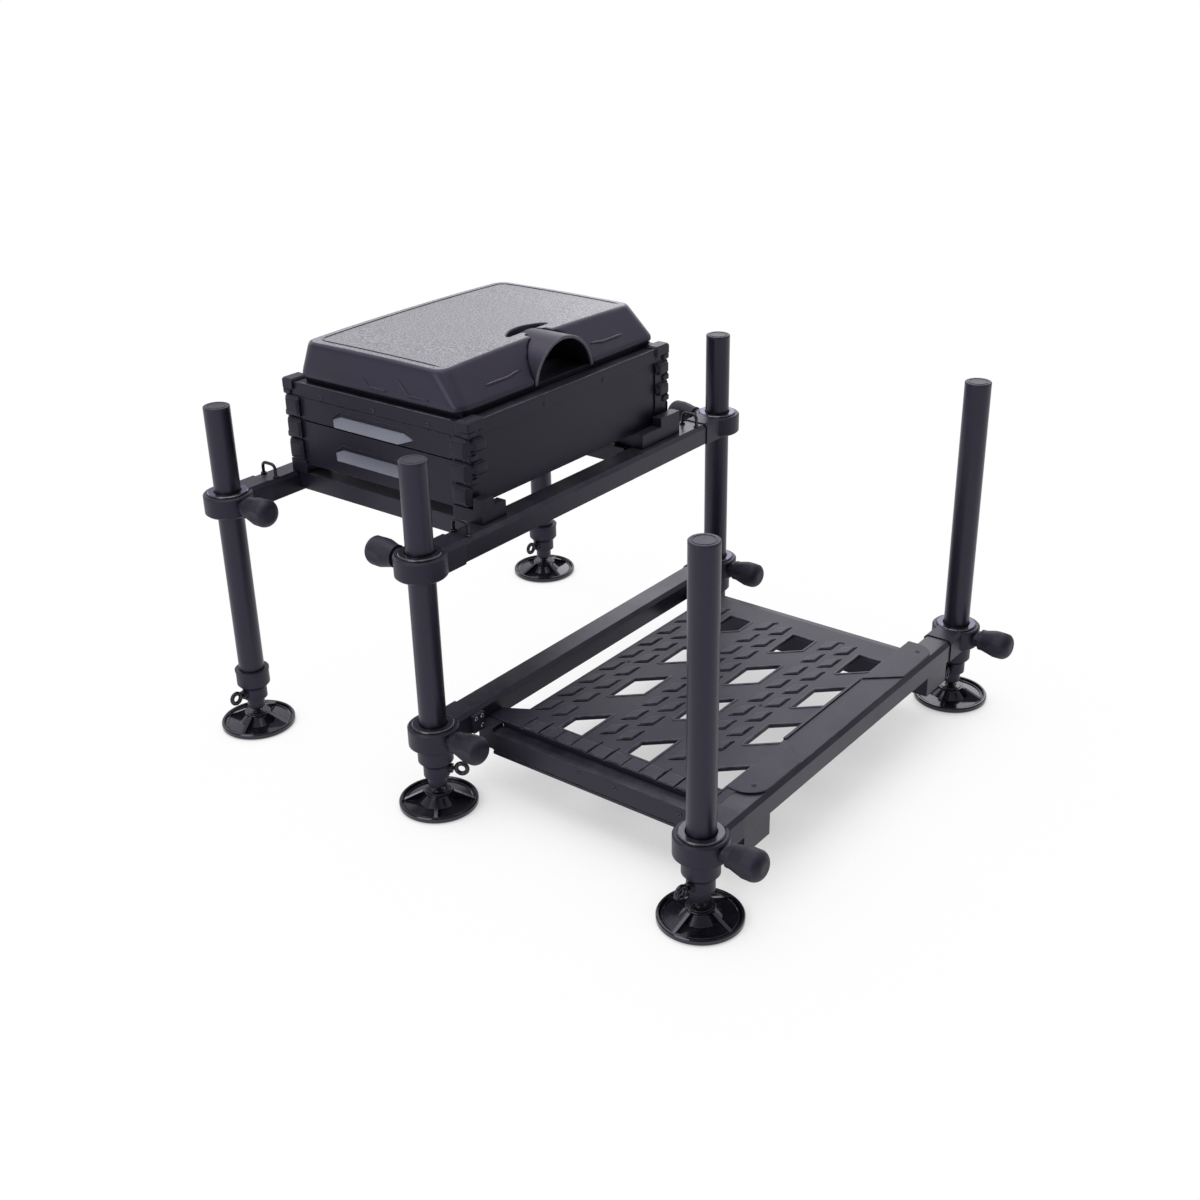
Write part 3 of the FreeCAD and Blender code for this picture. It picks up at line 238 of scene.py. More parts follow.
def edge_wear_effect():
    """Finds the outer edges, breaks them up with noise and gives them a small radius. Its mask
    paints the edges pale, as wear and as a painted highlight.
    """
    tree, start, end = effect(
        "edge_wear_and_highlight",
        [("Width", FLOAT, 0.0008), ("Amount", FLOAT, 0.5), ("Patch Scale", FLOAT, 60)],
        [("Mask", FLOAT), ("Normal", VECTOR)],
    )
    eased = tree.nodes.new("ShaderNodeBevel")
    eased.samples = 6
    surface = tree.nodes.new("ShaderNodeNewGeometry")
    likeness = tree.nodes.new("ShaderNodeVectorMath")
    likeness.operation = "DOT_PRODUCT"
    edge = tree.nodes.new("ShaderNodeMapRange")
    edge.inputs["From Min"].default_value = 0.995
    edge.inputs["From Max"].default_value = 0.88
    where = tree.nodes.new("ShaderNodeTexCoord")
    patches = tree.nodes.new("ShaderNodeTexNoise")
    patches.inputs["Detail"].default_value = 5
    patches.inputs["Roughness"].default_value = 0.65
    broken = tree.nodes.new("ShaderNodeMapRange")
    broken.inputs["From Min"].default_value = 0.38
    broken.inputs["From Max"].default_value = 0.68
    worn_and_lit = tree.nodes.new("ShaderNodeMath")
    worn_and_lit.operation = "MULTIPLY"
    scaled = tree.nodes.new("ShaderNodeMath")
    scaled.operation = "MULTIPLY"
    link = tree.links.new
    link(start.outputs["Width"], eased.inputs["Radius"])
    link(eased.outputs["Normal"], likeness.inputs[0])
    link(surface.outputs["True Normal"], likeness.inputs[1])
    link(likeness.outputs["Value"], edge.inputs["Value"])
    link(where.outputs["Object"], patches.inputs["Vector"])
    link(start.outputs["Patch Scale"], patches.inputs["Scale"])
    link(patches.outputs["Fac"], broken.inputs["Value"])
    link(edge.outputs["Result"], worn_and_lit.inputs[0])
    link(broken.outputs["Result"], worn_and_lit.inputs[1])
    link(worn_and_lit.outputs[0], scaled.inputs[0])
    link(start.outputs["Amount"], scaled.inputs[1])
    link(scaled.outputs[0], end.inputs["Mask"])
    link(eased.outputs["Normal"], end.inputs["Normal"])
    return tree


def grain_effect():
    """A fine even grain with larger soft clouds, for the height, the gloss and the tone."""
    tree, start, end = effect(
        "surface_grain",
        [("Grain Scale", FLOAT, 1400), ("Cloud Scale", FLOAT, 9), ("Gloss", FLOAT, 0.45),
         ("Gloss Spread", FLOAT, 0.12)],
        [("Height", FLOAT), ("Roughness", FLOAT), ("Tone", FLOAT)],
    )
    where = tree.nodes.new("ShaderNodeTexCoord")
    fine = tree.nodes.new("ShaderNodeTexNoise")
    fine.inputs["Detail"].default_value = 3
    cloud = tree.nodes.new("ShaderNodeTexNoise")
    cloud.inputs["Detail"].default_value = 4
    cloud.inputs["Roughness"].default_value = 0.6
    centred = tree.nodes.new("ShaderNodeMath")
    centred.operation = "SUBTRACT"
    centred.inputs[1].default_value = 0.5
    spread = tree.nodes.new("ShaderNodeMath")
    spread.operation = "MULTIPLY_ADD"
    link = tree.links.new
    link(where.outputs["Object"], fine.inputs["Vector"])
    link(where.outputs["Object"], cloud.inputs["Vector"])
    link(start.outputs["Grain Scale"], fine.inputs["Scale"])
    link(start.outputs["Cloud Scale"], cloud.inputs["Scale"])
    link(cloud.outputs["Fac"], centred.inputs[0])
    link(centred.outputs[0], spread.inputs[0])
    link(start.outputs["Gloss Spread"], spread.inputs[1])
    link(start.outputs["Gloss"], spread.inputs[2])
    link(fine.outputs["Fac"], end.inputs["Height"])
    link(spread.outputs[0], end.inputs["Roughness"])
    link(cloud.outputs["Fac"], end.inputs["Tone"])
    return tree


def dust_effect():
    """A pale film on what faces up, thicker in soft patches: settled dust, and a painted sheen on
    the tops.
    """
    tree, start, end = effect(
        "settled_dust_and_sheen",
        [("Amount", FLOAT, 0.1), ("Patch Scale", FLOAT, 14)],
        [("Mask", FLOAT)],
    )
    where = tree.nodes.new("ShaderNodeTexCoord")
    parts = tree.nodes.new("ShaderNodeSeparateXYZ")
    upward = tree.nodes.new("ShaderNodeMapRange")
    upward.inputs["From Min"].default_value = 0.3
    patches = tree.nodes.new("ShaderNodeTexNoise")
    patches.inputs["Detail"].default_value = 7
    patches.inputs["Roughness"].default_value = 0.7
    thick = tree.nodes.new("ShaderNodeMapRange")
    thick.inputs["From Min"].default_value = 0.35
    thick.inputs["From Max"].default_value = 0.75
    film = tree.nodes.new("ShaderNodeMath")
    film.operation = "MULTIPLY"
    scaled = tree.nodes.new("ShaderNodeMath")
    scaled.operation = "MULTIPLY"
    link = tree.links.new
    link(where.outputs["Normal"], parts.inputs[0])
    link(parts.outputs["Z"], upward.inputs["Value"])
    link(where.outputs["Object"], patches.inputs["Vector"])
    link(start.outputs["Patch Scale"], patches.inputs["Scale"])
    link(patches.outputs["Fac"], thick.inputs["Value"])
    link(upward.outputs["Result"], film.inputs[0])
    link(thick.outputs["Result"], film.inputs[1])
    link(film.outputs[0], scaled.inputs[0])
    link(start.outputs["Amount"], scaled.inputs[1])
    link(scaled.outputs[0], end.inputs["Mask"])
    return tree


def crevice_effect():
    """Painted shade where surfaces meet, in slots and in deep corners: an ambient occlusion mask
    that darkens the colour there.
    """
    tree, start, end = effect(
        "painted_crevice_shade",
        [("Reach", FLOAT, 0.006), ("Amount", FLOAT, 0.85)],
        [("Mask", FLOAT)],
    )
    open_sky = tree.nodes.new("ShaderNodeAmbientOcclusion")
    open_sky.samples = 6
    closed = tree.nodes.new("ShaderNodeMapRange")
    closed.inputs["From Min"].default_value = 0.85
    closed.inputs["From Max"].default_value = 0.3
    scaled = tree.nodes.new("ShaderNodeMath")
    scaled.operation = "MULTIPLY"
    link = tree.links.new
    link(start.outputs["Reach"], open_sky.inputs["Distance"])
    link(open_sky.outputs["AO"], closed.inputs["Value"])
    link(closed.outputs["Result"], scaled.inputs[0])
    link(start.outputs["Amount"], scaled.inputs[1])
    link(scaled.outputs[0], end.inputs["Mask"])
    return tree


edge_wear_and_highlight = edge_wear_effect()
surface_grain = grain_effect()
settled_dust_and_sheen = dust_effect()
painted_crevice_shade = crevice_effect()


def placed(finish, tree, **values):
    """Puts a shader group in a material with values of its own."""
    node = finish.add("ShaderNodeGroup", node_tree=tree)
    for key, value in values.items():
        node.inputs[key.replace("_", " ")].default_value = value
    return node


def blended(finish, mask, under, over):
    """Lays a colour over another where a mask says so, and gives the result's socket."""
    layer = finish.add("ShaderNodeMix", data_type="RGBA")
    finish.wire(mask, layer.inputs["Factor"])
    finish.wire(under, layer.inputs["A"])
    layer.inputs["B"].default_value = (*over, 1)
    return layer.outputs["Result"]


def coated(name, colour, worn_and_lit, roughness, spread=0.12, grain=1400, depth=0.00004, edge=0.0007,
           wear_and_highlight=0.5, dust_and_sheen=0.1, reach=0.006, metallic=0.0, specular=0.4):
    """A coloured skin on metal or plastic: soft tone changes, grain, pale edges that are partly
    wear and partly painted highlight, pale tops that are partly dust and partly painted sheen, and
    painted shade in crevices.
    """
    finish = Finish(name)
    finish.set(Metallic=metallic, Specular_IOR_Level=specular, Specular_Tint=(0.84, 0.78, 1, 1))
    grains = placed(finish, surface_grain, Grain_Scale=grain, Gloss=roughness, Gloss_Spread=spread)
    edges = placed(finish, edge_wear_and_highlight, Width=edge, Amount=wear_and_highlight)
    film = placed(finish, settled_dust_and_sheen, Amount=dust_and_sheen)
    shade_in_crevices = placed(finish, painted_crevice_shade, Reach=reach)
    tone = finish.add("ShaderNodeMix", data_type="RGBA")
    tone.inputs["A"].default_value = (*(part * 0.82 for part in colour), 1)
    tone.inputs["B"].default_value = (*(part * 1.2 for part in colour), 1)
    finish.wire(grains.outputs["Tone"], tone.inputs["Factor"])
    # Pale edges: partly wear, partly a painted highlight along the edges.
    rubbed_and_lit = blended(finish, edges.outputs["Mask"], tone.outputs["Result"], worn_and_lit)
    # Pale tops: settled dust, and partly a painted sheen on what faces up.
    dusted_and_lit = blended(finish, film.outputs["Mask"], rubbed_and_lit, (0.3, 0.29, 0.28))
    # Painted shade: a near black colour laid wherever the ambient occlusion mask finds a crevice.
    shaded_colour = blended(finish, shade_in_crevices.outputs["Mask"], dusted_and_lit, (0.002, 0.002, 0.003))
    finish.wire(shaded_colour, finish.shader.inputs["Base Color"])
    relief = finish.add("ShaderNodeBump")
    relief.inputs["Distance"].default_value = depth
    finish.wire(grains.outputs["Roughness"], finish.shader.inputs["Roughness"])
    finish.wire(grains.outputs["Height"], relief.inputs["Height"])
    finish.wire(edges.outputs["Normal"], relief.inputs["Normal"])
    finish.wire(relief.outputs["Normal"], finish.shader.inputs["Normal"])
    return finish


def wear_finish(finish, *names):
    """Gives CAD nodes a finish in all their material slots."""
    for name in names:
        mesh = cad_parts[name].data
        if not mesh.materials:
            mesh.materials.append(finish.material)
        for number in range(len(mesh.materials)):
            mesh.materials[number] = finish.material


anodised = coated("black_anodised_tube", (0.0130, 0.0117, 0.0214), (0.13, 0.13, 0.14), 0.34,
                  wear_and_highlight=0.35, dust_and_sheen=0.04, metallic=0.1, specular=0.5)
drawn_place = anodised.add("ShaderNodeTexCoord")
drawn_stretch = anodised.add("ShaderNodeMapping")
drawn_stretch.inputs["Scale"].default_value = (1, 1, 0.008)
drawn_lines = anodised.add("ShaderNodeTexNoise")
drawn_lines.inputs["Scale"].default_value = 1800
drawn_height = anodised.add("ShaderNodeBump")
drawn_height.inputs["Distance"].default_value = 0.00003
anodised.wire(drawn_place.outputs["Object"], drawn_stretch.inputs["Vector"])
anodised.wire(drawn_stretch.outputs["Vector"], drawn_lines.inputs["Vector"])
anodised.wire(drawn_lines.outputs["Fac"], drawn_height.inputs["Height"])
anodised.wire(anodised.shader.inputs["Normal"].links[0].from_socket, drawn_height.inputs["Normal"])
anodised.wire(drawn_height.outputs["Normal"], anodised.shader.inputs["Normal"])
wear_finish(anodised, *[f"{leg}_leg_tube" for leg in legs])

# Each tube is closed by a moulded nylon cap, pressed in flush, with a shallow ring in its face.
# The clamp round the tube's bottom end is a satin moulding of the same nylon.
CAP_RING = [(0.0125, -0.0006), (0.0125, 0.0003), (0.0129, 0.0005), (0.0136, 0.0005),
            (0.0140, 0.0003), (0.0140, -0.0006)]
nylon = coated("black_nylon", (0.0150, 0.0135, 0.0247), (0.09, 0.09, 0.10), 0.46, grain=900,
               depth=0.00008, wear_and_highlight=0.4, dust_and_sheen=0.12)
wear_finish(nylon, *[f"{leg}_leg_fittings" for leg in legs])


def skin(shape, rings, capped):
    """Lays faces between each ring of points and the next, and over both ends if capped."""
    for here, after in zip(rings, rings[1:]):
        for corner in range(len(here)):
            following = (corner + 1) % len(here)
            shape.faces.new((here[corner], here[following], after[following], after[corner]))
    if capped:
        shape.faces.new(reversed(rings[0]))
        shape.faces.new(rings[-1])


def made(name, shape, finish, body, place=(0, 0, 0), axis=(0, 0, 1)):
    """Makes a shape a piece: its finish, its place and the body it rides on."""
    mesh = bpy.data.meshes.new(name)
    shape.to_mesh(mesh)
    shape.free()
    mesh.materials.append(finish.material)
    piece = linked(bpy.data.objects.new(name, mesh))
    piece.location = place
    piece.rotation_mode = "QUATERNION"
    piece.rotation_quaternion = Vector((0, 0, 1)).rotation_difference(Vector(axis))
    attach(piece, body)
    return piece


def turned_piece(name, profile, place, finish, body, axis=(0, 0, 1), steps=48):
    """A piece turned about an axis from a closed outline of radius and height."""
    shape = bmesh.new()
    rings = []
    for step in range(steps):
        angle = math.tau * step / steps
        rings.append([
            shape.verts.new((radius * math.cos(angle), radius * math.sin(angle), height))
            for radius, height in profile
        ])
    skin(shape, rings + rings[:1], capped=False)
    bmesh.ops.remove_doubles(shape, verts=shape.verts, dist=0.000001)
    bmesh.ops.recalc_face_normals(shape, faces=shape.faces)
    return made(name, shape, finish, body, place, axis)


for leg, (x, y) in legs.items():
    turned_piece(f"{leg}_cap_ring", CAP_RING, (x, y, LEG_TOP), nylon, f"{leg}_leg")

# The inner legs are turned black rods that slide out of the tubes.
# What shows of them is smooth and a little glossy, with marks from the eye bolt's end.
smooth_rod = coated("inner_leg_black", (0.0140, 0.0126, 0.0231), (0.12, 0.12, 0.12), 0.28, wear_and_highlight=0.4)
wear_finish(smooth_rod, *[f"{leg}_inner_leg" for leg in legs])

# The feet are glossy black mouldings: a dish with a raised rim, four ribs and a stepped hub.
# A second bead runs round inside the rim, and a ring closes the hub over the leg's ball.
FOOT_BEAD = [(0.0440, 0.0040), (0.0443, 0.0056), (0.0450, 0.0062), (0.0457, 0.0062),
             (0.0464, 0.0056), (0.0467, 0.0040)]
HUB_RING = [(0.0145, 0.0170), (0.0178, 0.0170), (0.0182, 0.0175), (0.0182, 0.0194),
            (0.0178, 0.0199), (0.0145, 0.0199)]
foot_gloss = coated("foot_gloss_black", (0.0050, 0.0045, 0.0083), (0.05, 0.05, 0.05), 0.16,
                    spread=0.16, grain=700, depth=0.00003, edge=0.0009, wear_and_highlight=0.3, dust_and_sheen=0.06,
                    specular=0.5)
foot_gloss.set(Coat_Weight=0.25, Coat_Roughness=0.1)
wear_finish(foot_gloss, *[f"{leg}_foot" for leg in legs])
for leg, (x, y) in legs.items():
    for part, profile in (("rim_bead", FOOT_BEAD), ("hub_ring", HUB_RING)):
        turned_piece(f"{leg}_foot_{part}", profile, (x, y, 0), foot_gloss, f"{leg}_foot")

# The eye bolts are bent from plated steel rod and screw into the clamps.
# Their eyes are rubbed bright where the fingers turn them.
dark_steel = coated("dark_steel", (0.045, 0.045, 0.050), (0.35, 0.35, 0.36), 0.28, wear_and_highlight=0.6,
                    metallic=0.8, dust_and_sheen=0.02)
wear_finish(dark_steel, *[f"{leg}_eye_bolt" for leg in legs])

# The seat rails, the cross bars and the footplate's beams and side rails are extruded aluminium.
# A satin black coat covers them and shines where light comes at a low angle.
# Their pale edges and patchy pale tops are partly wear and dust, partly a painted highlight and a
# painted sheen.
rail_coat = coated("black_rail_coat", (0.0100, 0.0090, 0.0165), (0.17, 0.17, 0.19), 0.34,
                   spread=0.3, edge=0.0011, wear_and_highlight=0.8, dust_and_sheen=0.16, metallic=0.05, specular=0.4)
wear_finish(rail_coat, "seat_rails", "platform_beams", "cross_bars", "side_rails")

# The collars are aluminium castings under a slightly rough black coat.
# Each is clamped on a rail's end by its own knob.
casting = coated("black_casting", (0.0130, 0.0117, 0.0214), (0.12, 0.12, 0.13), 0.42, grain=650,
                 depth=0.00012, wear_and_highlight=0.5, dust_and_sheen=0.1, metallic=0.1)
wear_finish(casting, "upper_collars", "lower_collars")

# Split liner rings of dark polished metal sit in the collars round the legs.
# Only their rounded upper ends show, which catch the light.
liner_metal = coated("liner_metal", (0.110, 0.110, 0.125), (0.6, 0.6, 0.62), 0.22, wear_and_highlight=0.9,
                     metallic=0.85, dust_and_sheen=0.03)
wear_finish(liner_metal, "upper_liners", "lower_liners")

# The clamp knobs are moulded in rubber over a metal stud, matt, with a fine spark grain.
# Their three lobes are worn a little smoother than the hollows between them.
rubber = coated("knob_rubber", (0.0100, 0.0090, 0.0165), (0.06, 0.06, 0.06), 0.55, grain=1100,
                depth=0.00015, edge=0.0012, wear_and_highlight=0.25, dust_and_sheen=0.06, specular=0.45)
wear_finish(rubber, *[f"{leg}_knob" for leg in legs], "front_left_lower_knob",
            "front_right_lower_knob")

# Four wire loops stand on the seat rails for straps.
# They are bent from plated steel wire and held by small collars.
wear_finish(dark_steel, "gear_loops")

# The box is moulded in black plastic: base, outer panels, corner posts, rim, drawers and the
# lid's shell. The rim has a raised edge along its top, coloured pale as a painted highlight
# with worn edges, and small dark screws hold it down.
BOX_HALF = 0.215
BOX_FRONT = 0.060
BOX_REAR = 0.401
BOX_MIDDLE = 0.2305
RIM_TOP = 0.494
RIM_SCREW_LEVEL = 0.4810
RIM_SCREW_PITCH = 0.127
RIM_BLOCK = 0.030
SCREW_HEAD = [(0, -0.0010), (0.0030, -0.0010), (0.0032, 0.0004), (0.0026, 0.0009),
              (0.0013, 0.0009), (0.0010, -0.0004), (0, -0.0004)]
box_plastic = coated("box_plastic", (0.0120, 0.0108, 0.0198), (0.14, 0.14, 0.16), 0.40, grain=800,
                     depth=0.00010, edge=0.0010, wear_and_highlight=0.7, dust_and_sheen=0.1, reach=0.009, specular=0.28)
wear_finish(box_plastic, "box_base", "box_panels", "corner_posts", "rim_frame", "lid_base",
            "upper_drawer", "lower_drawer")


def slab(name, outline, low, high, ease, finish, body):
    """A flat plate with a given outline, its upper edge broken by a small bevel."""
    count = len(outline)
    inner = []
    for number, point in enumerate(outline):
        before = Vector(outline[number - 1])
        here = Vector(point)
        after = Vector(outline[(number + 1) % count])
        first = (here - before).normalized()
        second = (after - here).normalized()
        normal = Vector((-first.y - second.y, first.x + second.x)).normalized()
        reach = ease / max(0.35, normal.dot(Vector((-first.y, first.x))))
        inner.append(here + normal * reach)
    shape = bmesh.new()
    rings = [
        [shape.verts.new((x, y, low)) for x, y in outline],
        [shape.verts.new((x, y, high - ease)) for x, y in outline],
        [shape.verts.new((x, y, high)) for x, y in inner],
    ]
    skin(shape, rings, capped=True)
    bmesh.ops.recalc_face_normals(shape, faces=shape.faces)
    return made(name, shape, finish, body)


def strip(name, x0, x1, y0, y1, low, high, finish, body, ease=0.0004):
    """A slab that is square to the object."""
    return slab(name, [(x0, y0), (x1, y0), (x1, y1), (x0, y1)], low, high, ease, finish, body)


POST_DEPTH = 0.031
POST_TOP = 0.475
KNUCKLE_STAND = 0.005
KNUCKLE_PITCH = 0.0315
END_KNUCKLE = 0.028
FRONT_KNUCKLE = 0.0185
FRONT_KNUCKLE_LEVEL = 0.4235
KNUCKLE_OUT = (-0.004, KNUCKLE_STAND + 0.0018)
KNUCKLE_INSET = -0.0035
STUD_OUT = (-0.012, 0.0028)
STUD_DROP = 0.0115
STUD_HEIGHT = 0.0090


def cushion_block(name, low, high, ease, finish, body):
    """A block between two corners with all its edges and corners rounded."""
    shape = bmesh.new()
    bmesh.ops.create_cube(shape, size=1)
    for vertex in shape.verts:
        vertex.co = Vector(
            (start + end) / 2 + part * (end - start)
            for start, end, part in zip(low, high, vertex.co)
        )
    bmesh.ops.bevel(shape, geom=list(shape.edges), offset=ease, segments=4, profile=0.6,
                    affect="EDGES")
    for face in shape.faces:
        face.smooth = True
    return made(name, shape, finish, body)


def corner_block(name, side, out, y_side, y_out, low, high, ease):
    """A rounded block at one of the box's four upright edges, given from that edge inward."""
    xs = sorted((side * (BOX_HALF + out[0]), side * (BOX_HALF + out[1])))
    edge_y = BOX_FRONT if y_side < 0 else BOX_REAR
    ys = sorted((edge_y + y_side * y_out[0], edge_y + y_side * y_out[1]))
    cushion_block(name, (xs[0], ys[0], low), (xs[1], ys[1], high), ease, box_plastic,
                  "seat_frame")


for side, word in ((-1, "left"), (1, "right")):
    for y_side, face_word in ((-1, "front"), (1, "rear")):
        corner = f"{face_word}_{word}"
        for level in range(3):
            low = POST_TOP - END_KNUCKLE - level * KNUCKLE_PITCH
            corner_block(f"end_knuckle_{corner}_{level + 1}", side, KNUCKLE_OUT, y_side,
                         (-POST_DEPTH + 0.003, KNUCKLE_INSET), low + 0.002,
                         low + END_KNUCKLE - 0.0035, 0.0032)
        for level in range(2):
            low = FRONT_KNUCKLE_LEVEL + level * KNUCKLE_PITCH
            corner_block(f"face_knuckle_{corner}_{level + 1}", side, (-0.026, KNUCKLE_INSET),
                         y_side, KNUCKLE_OUT, low + 0.0015, low + FRONT_KNUCKLE - 0.0015, 0.0034)
        for level in range(3):
            low = FRONT_KNUCKLE_LEVEL - STUD_DROP + level * KNUCKLE_PITCH
            corner_block(f"corner_stud_{corner}_{level + 1}", side, STUD_OUT, y_side, STUD_OUT,
                         low, low + STUD_HEIGHT, 0.0028)

EDGE = 0.0016
EDGE_FOOT = RIM_TOP - 0.0005
EDGE_TOP = RIM_TOP + 0.0014
# Painted highlight: the raised edge is coloured much paler than the rim to stand for a line of
# light along it.
pale_edge_highlight = coated("rim_edge_painted_highlight", (0.030, 0.028, 0.042), (0.26, 0.26, 0.30), 0.32, grain=800,
                     edge=0.0010, wear_and_highlight=1.0, dust_and_sheen=0.05, reach=0.001, specular=0.5)
side_end = BOX_HALF - RIM_BLOCK
for side, word in ((-1, "left"), (1, "right")):
    outer, inner = sorted((side * BOX_HALF, side * (BOX_HALF - EDGE)))
    strip(f"rim_edge_{word}", outer, inner, BOX_FRONT + RIM_BLOCK, BOX_REAR - RIM_BLOCK,
          EDGE_FOOT, EDGE_TOP, pale_edge_highlight, "seat_frame")
    for number in (-1, 0, 1):
        turned_piece(f"rim_screw_{word}_{number + 2}", SCREW_HEAD,
                     (side * BOX_HALF, BOX_MIDDLE + number * 0.100, RIM_SCREW_LEVEL), dark_steel,
                     "seat_frame", (side, 0, 0), 24)
strip("rim_edge_front", -side_end, side_end, BOX_FRONT, BOX_FRONT + EDGE,
      EDGE_FOOT, EDGE_TOP, pale_edge_highlight, "seat_frame")
for number in range(4):
    x = (number - 1.5) * RIM_SCREW_PITCH
    turned_piece(f"rim_screw_front_{number + 1}", SCREW_HEAD, (x, BOX_FRONT, RIM_SCREW_LEVEL),
                 dark_steel, "seat_frame", (0, -1, 0), 24)

# The drawers' grip lips are moulded in blue-grey plastic and clipped into the drawer fronts.
# A fine raised line frames the pocket above each lip.
grip_plastic = coated("grip_plastic", (0.175, 0.186, 0.225), (0.40, 0.41, 0.44), 0.46, grain=900,
                      depth=0.00008, wear_and_highlight=0.5, dust_and_sheen=0.05, reach=0.002)
wear_finish(grip_plastic, "upper_drawer_grip", "lower_drawer_grip")


def relief(name, spots, width, height, finish, body, slot):
    """A low round bead along places on a surface, each given with its normal."""
    shape = bmesh.new()
    rows = []
    section = [(-0.5, -0.4), (-0.4, 0.5), (-0.15, 1), (0.15, 1), (0.4, 0.5), (0.5, -0.4)]
    last = len(spots) - 1
    for number, (place, normal) in enumerate(spots):
        before = spots[max(0, number - 1)][0]
        after = spots[min(last, number + 1)][0]
        across = (after - before).cross(normal).normalized()
        taper = min(1, 0.25 + number / 3, 0.25 + (last - number) / 3)
        rows.append([
            shape.verts.new(place + across * width * out * taper + normal * height * up * taper)
            for out, up in section
        ])
    skin(shape, rows, capped=True)
    bmesh.ops.recalc_face_normals(shape, faces=shape.faces)
    for face in shape.faces:
        face.smooth = True
    return made(name, shape, finish, body)


GRIP_MIDDLE = 0.2345
GRIP_HALF = 0.0598
GRIP_POINT = 0.0795
FRAME_RISE = 0.0182
POINT_RISE = 0.0050
for word, level in (("upper", 0.4485), ("lower", 0.4010)):
    frame_line = [(-GRIP_POINT, POINT_RISE), (-GRIP_HALF, FRAME_RISE), (GRIP_HALF, FRAME_RISE),
                  (GRIP_POINT, POINT_RISE)]
    spots = []
    for start, end in zip(frame_line, frame_line[1:]):
        for step in range(12):
            along = Vector(start).lerp(Vector(end), step / 12)
            spots.append((Vector((-BOX_HALF, GRIP_MIDDLE + along.x, level + along.y)),
                          Vector((-1, 0, 0))))
    relief(f"{word}_grip_frame", spots, 0.0020, 0.0010, box_plastic, f"{word}_drawer",
           "box_plastic")

# The seat pad is one firm foam moulding: a coarse grained top and smooth satin sides.
# The top is coloured far lighter than the sides, a painted sheen speckled by the grain.
# A shallow border runs round three sides of the top, and zigzag lines in relief round the
# sides. The front is drawn in round the carry handle.
PAD_HALF = 0.2105
PAD_FRONT = 0.077
PAD_TOP = 0.559
PAD_CREST = 0.5545
BORDER_INSET = 0.0215
BORDER_FRONT = 0.128
BORDER_REAR = 0.352
BORDER_CORNER = 0.014
foam = coated("pad_foam", (0.0200, 0.0180, 0.0330), (0.10, 0.10, 0.11), 0.42, grain=500,
              depth=0.0001, edge=0.003, wear_and_highlight=0.2, dust_and_sheen=0.05, reach=0.02, specular=0.45)
foam_facing = foam.add("ShaderNodeTexCoord")
foam_upright = foam.add("ShaderNodeSeparateXYZ")
foam_top = foam.add("ShaderNodeMapRange", interpolation_type="SMOOTHSTEP")
foam_top.inputs["From Min"].default_value = 0.955
foam_top.inputs["From Max"].default_value = 0.999
foam_speck = foam.add("ShaderNodeTexNoise")
foam_speck.inputs["Scale"].default_value = 420
foam_speck.inputs["Detail"].default_value = 3
foam_speck_tone = foam.add("ShaderNodeMapRange")
foam_speck_tone.inputs["From Min"].default_value = 0.35
foam_speck_tone.inputs["From Max"].default_value = 0.65
# Painted sheen: what faces up gets a light speckled grey in place of the sides' dark colour.
foam_top_painted_sheen = foam.add("ShaderNodeMix", data_type="RGBA")
foam_top_painted_sheen.inputs["A"].default_value = (0.14, 0.14, 0.155, 1)
foam_top_painted_sheen.inputs["B"].default_value = (0.40, 0.40, 0.41, 1)
foam_layers = foam.add("ShaderNodeMix", data_type="RGBA")
foam_grain = foam.add("ShaderNodeBump")
foam_grain.inputs["Distance"].default_value = 0.0005
foam_depth = foam.add("ShaderNodeMath", operation="MULTIPLY")
foam_side_colour = foam.shader.inputs["Base Color"].links[0].from_socket
foam_side_normal = foam.shader.inputs["Normal"].links[0].from_socket
foam.wire(foam_facing.outputs["Normal"], foam_upright.inputs[0])
foam.wire(foam_upright.outputs["Z"], foam_top.inputs["Value"])
foam.wire(foam_facing.outputs["Object"], foam_speck.inputs["Vector"])
foam.wire(foam_speck.outputs["Fac"], foam_speck_tone.inputs["Value"])
foam.wire(foam_speck_tone.outputs["Result"], foam_top_painted_sheen.inputs["Factor"])
foam.wire(foam_top.outputs["Result"], foam_layers.inputs["Factor"])
foam.wire(foam_side_colour, foam_layers.inputs["A"])
foam.wire(foam_top_painted_sheen.outputs["Result"], foam_layers.inputs["B"])
foam.wire(foam_layers.outputs["Result"], foam.shader.inputs["Base Color"])
foam.wire(foam_speck.outputs["Fac"], foam_depth.inputs[0])
foam.wire(foam_top.outputs["Result"], foam_depth.inputs[1])
foam.wire(foam_depth.outputs[0], foam_grain.inputs["Height"])
foam.wire(foam_side_normal, foam_grain.inputs["Normal"])
foam.wire(foam_grain.outputs["Normal"], foam.shader.inputs["Normal"])

pad_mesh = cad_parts["seat_pad"].data.copy()
seat_pad = linked(bpy.data.objects.new("moulded_seat_pad", pad_mesh))
pad_shape = bmesh.new()
pad_shape.from_mesh(pad_mesh)
bmesh.ops.remove_doubles(pad_shape, verts=pad_shape.verts, dist=0.00002)
pad_shape.to_mesh(pad_mesh)
pad_shape.free()
pad_remesh = seat_pad.modifiers.new("even_faces", "REMESH")
pad_remesh.mode = "VOXEL"
pad_remesh.voxel_size = 0.0022
pad_smooth = seat_pad.modifiers.new("soft", "SMOOTH")
pad_smooth.iterations = 8
pad_smooth.factor = 0.5
bpy.context.view_layer.update()
evaluated = seat_pad.evaluated_get(bpy.context.evaluated_depsgraph_get())
even_mesh = bpy.data.meshes.new_from_object(evaluated)
seat_pad.modifiers.clear()
seat_pad.data = even_mesh
even_mesh.name = "moulded_seat_pad"
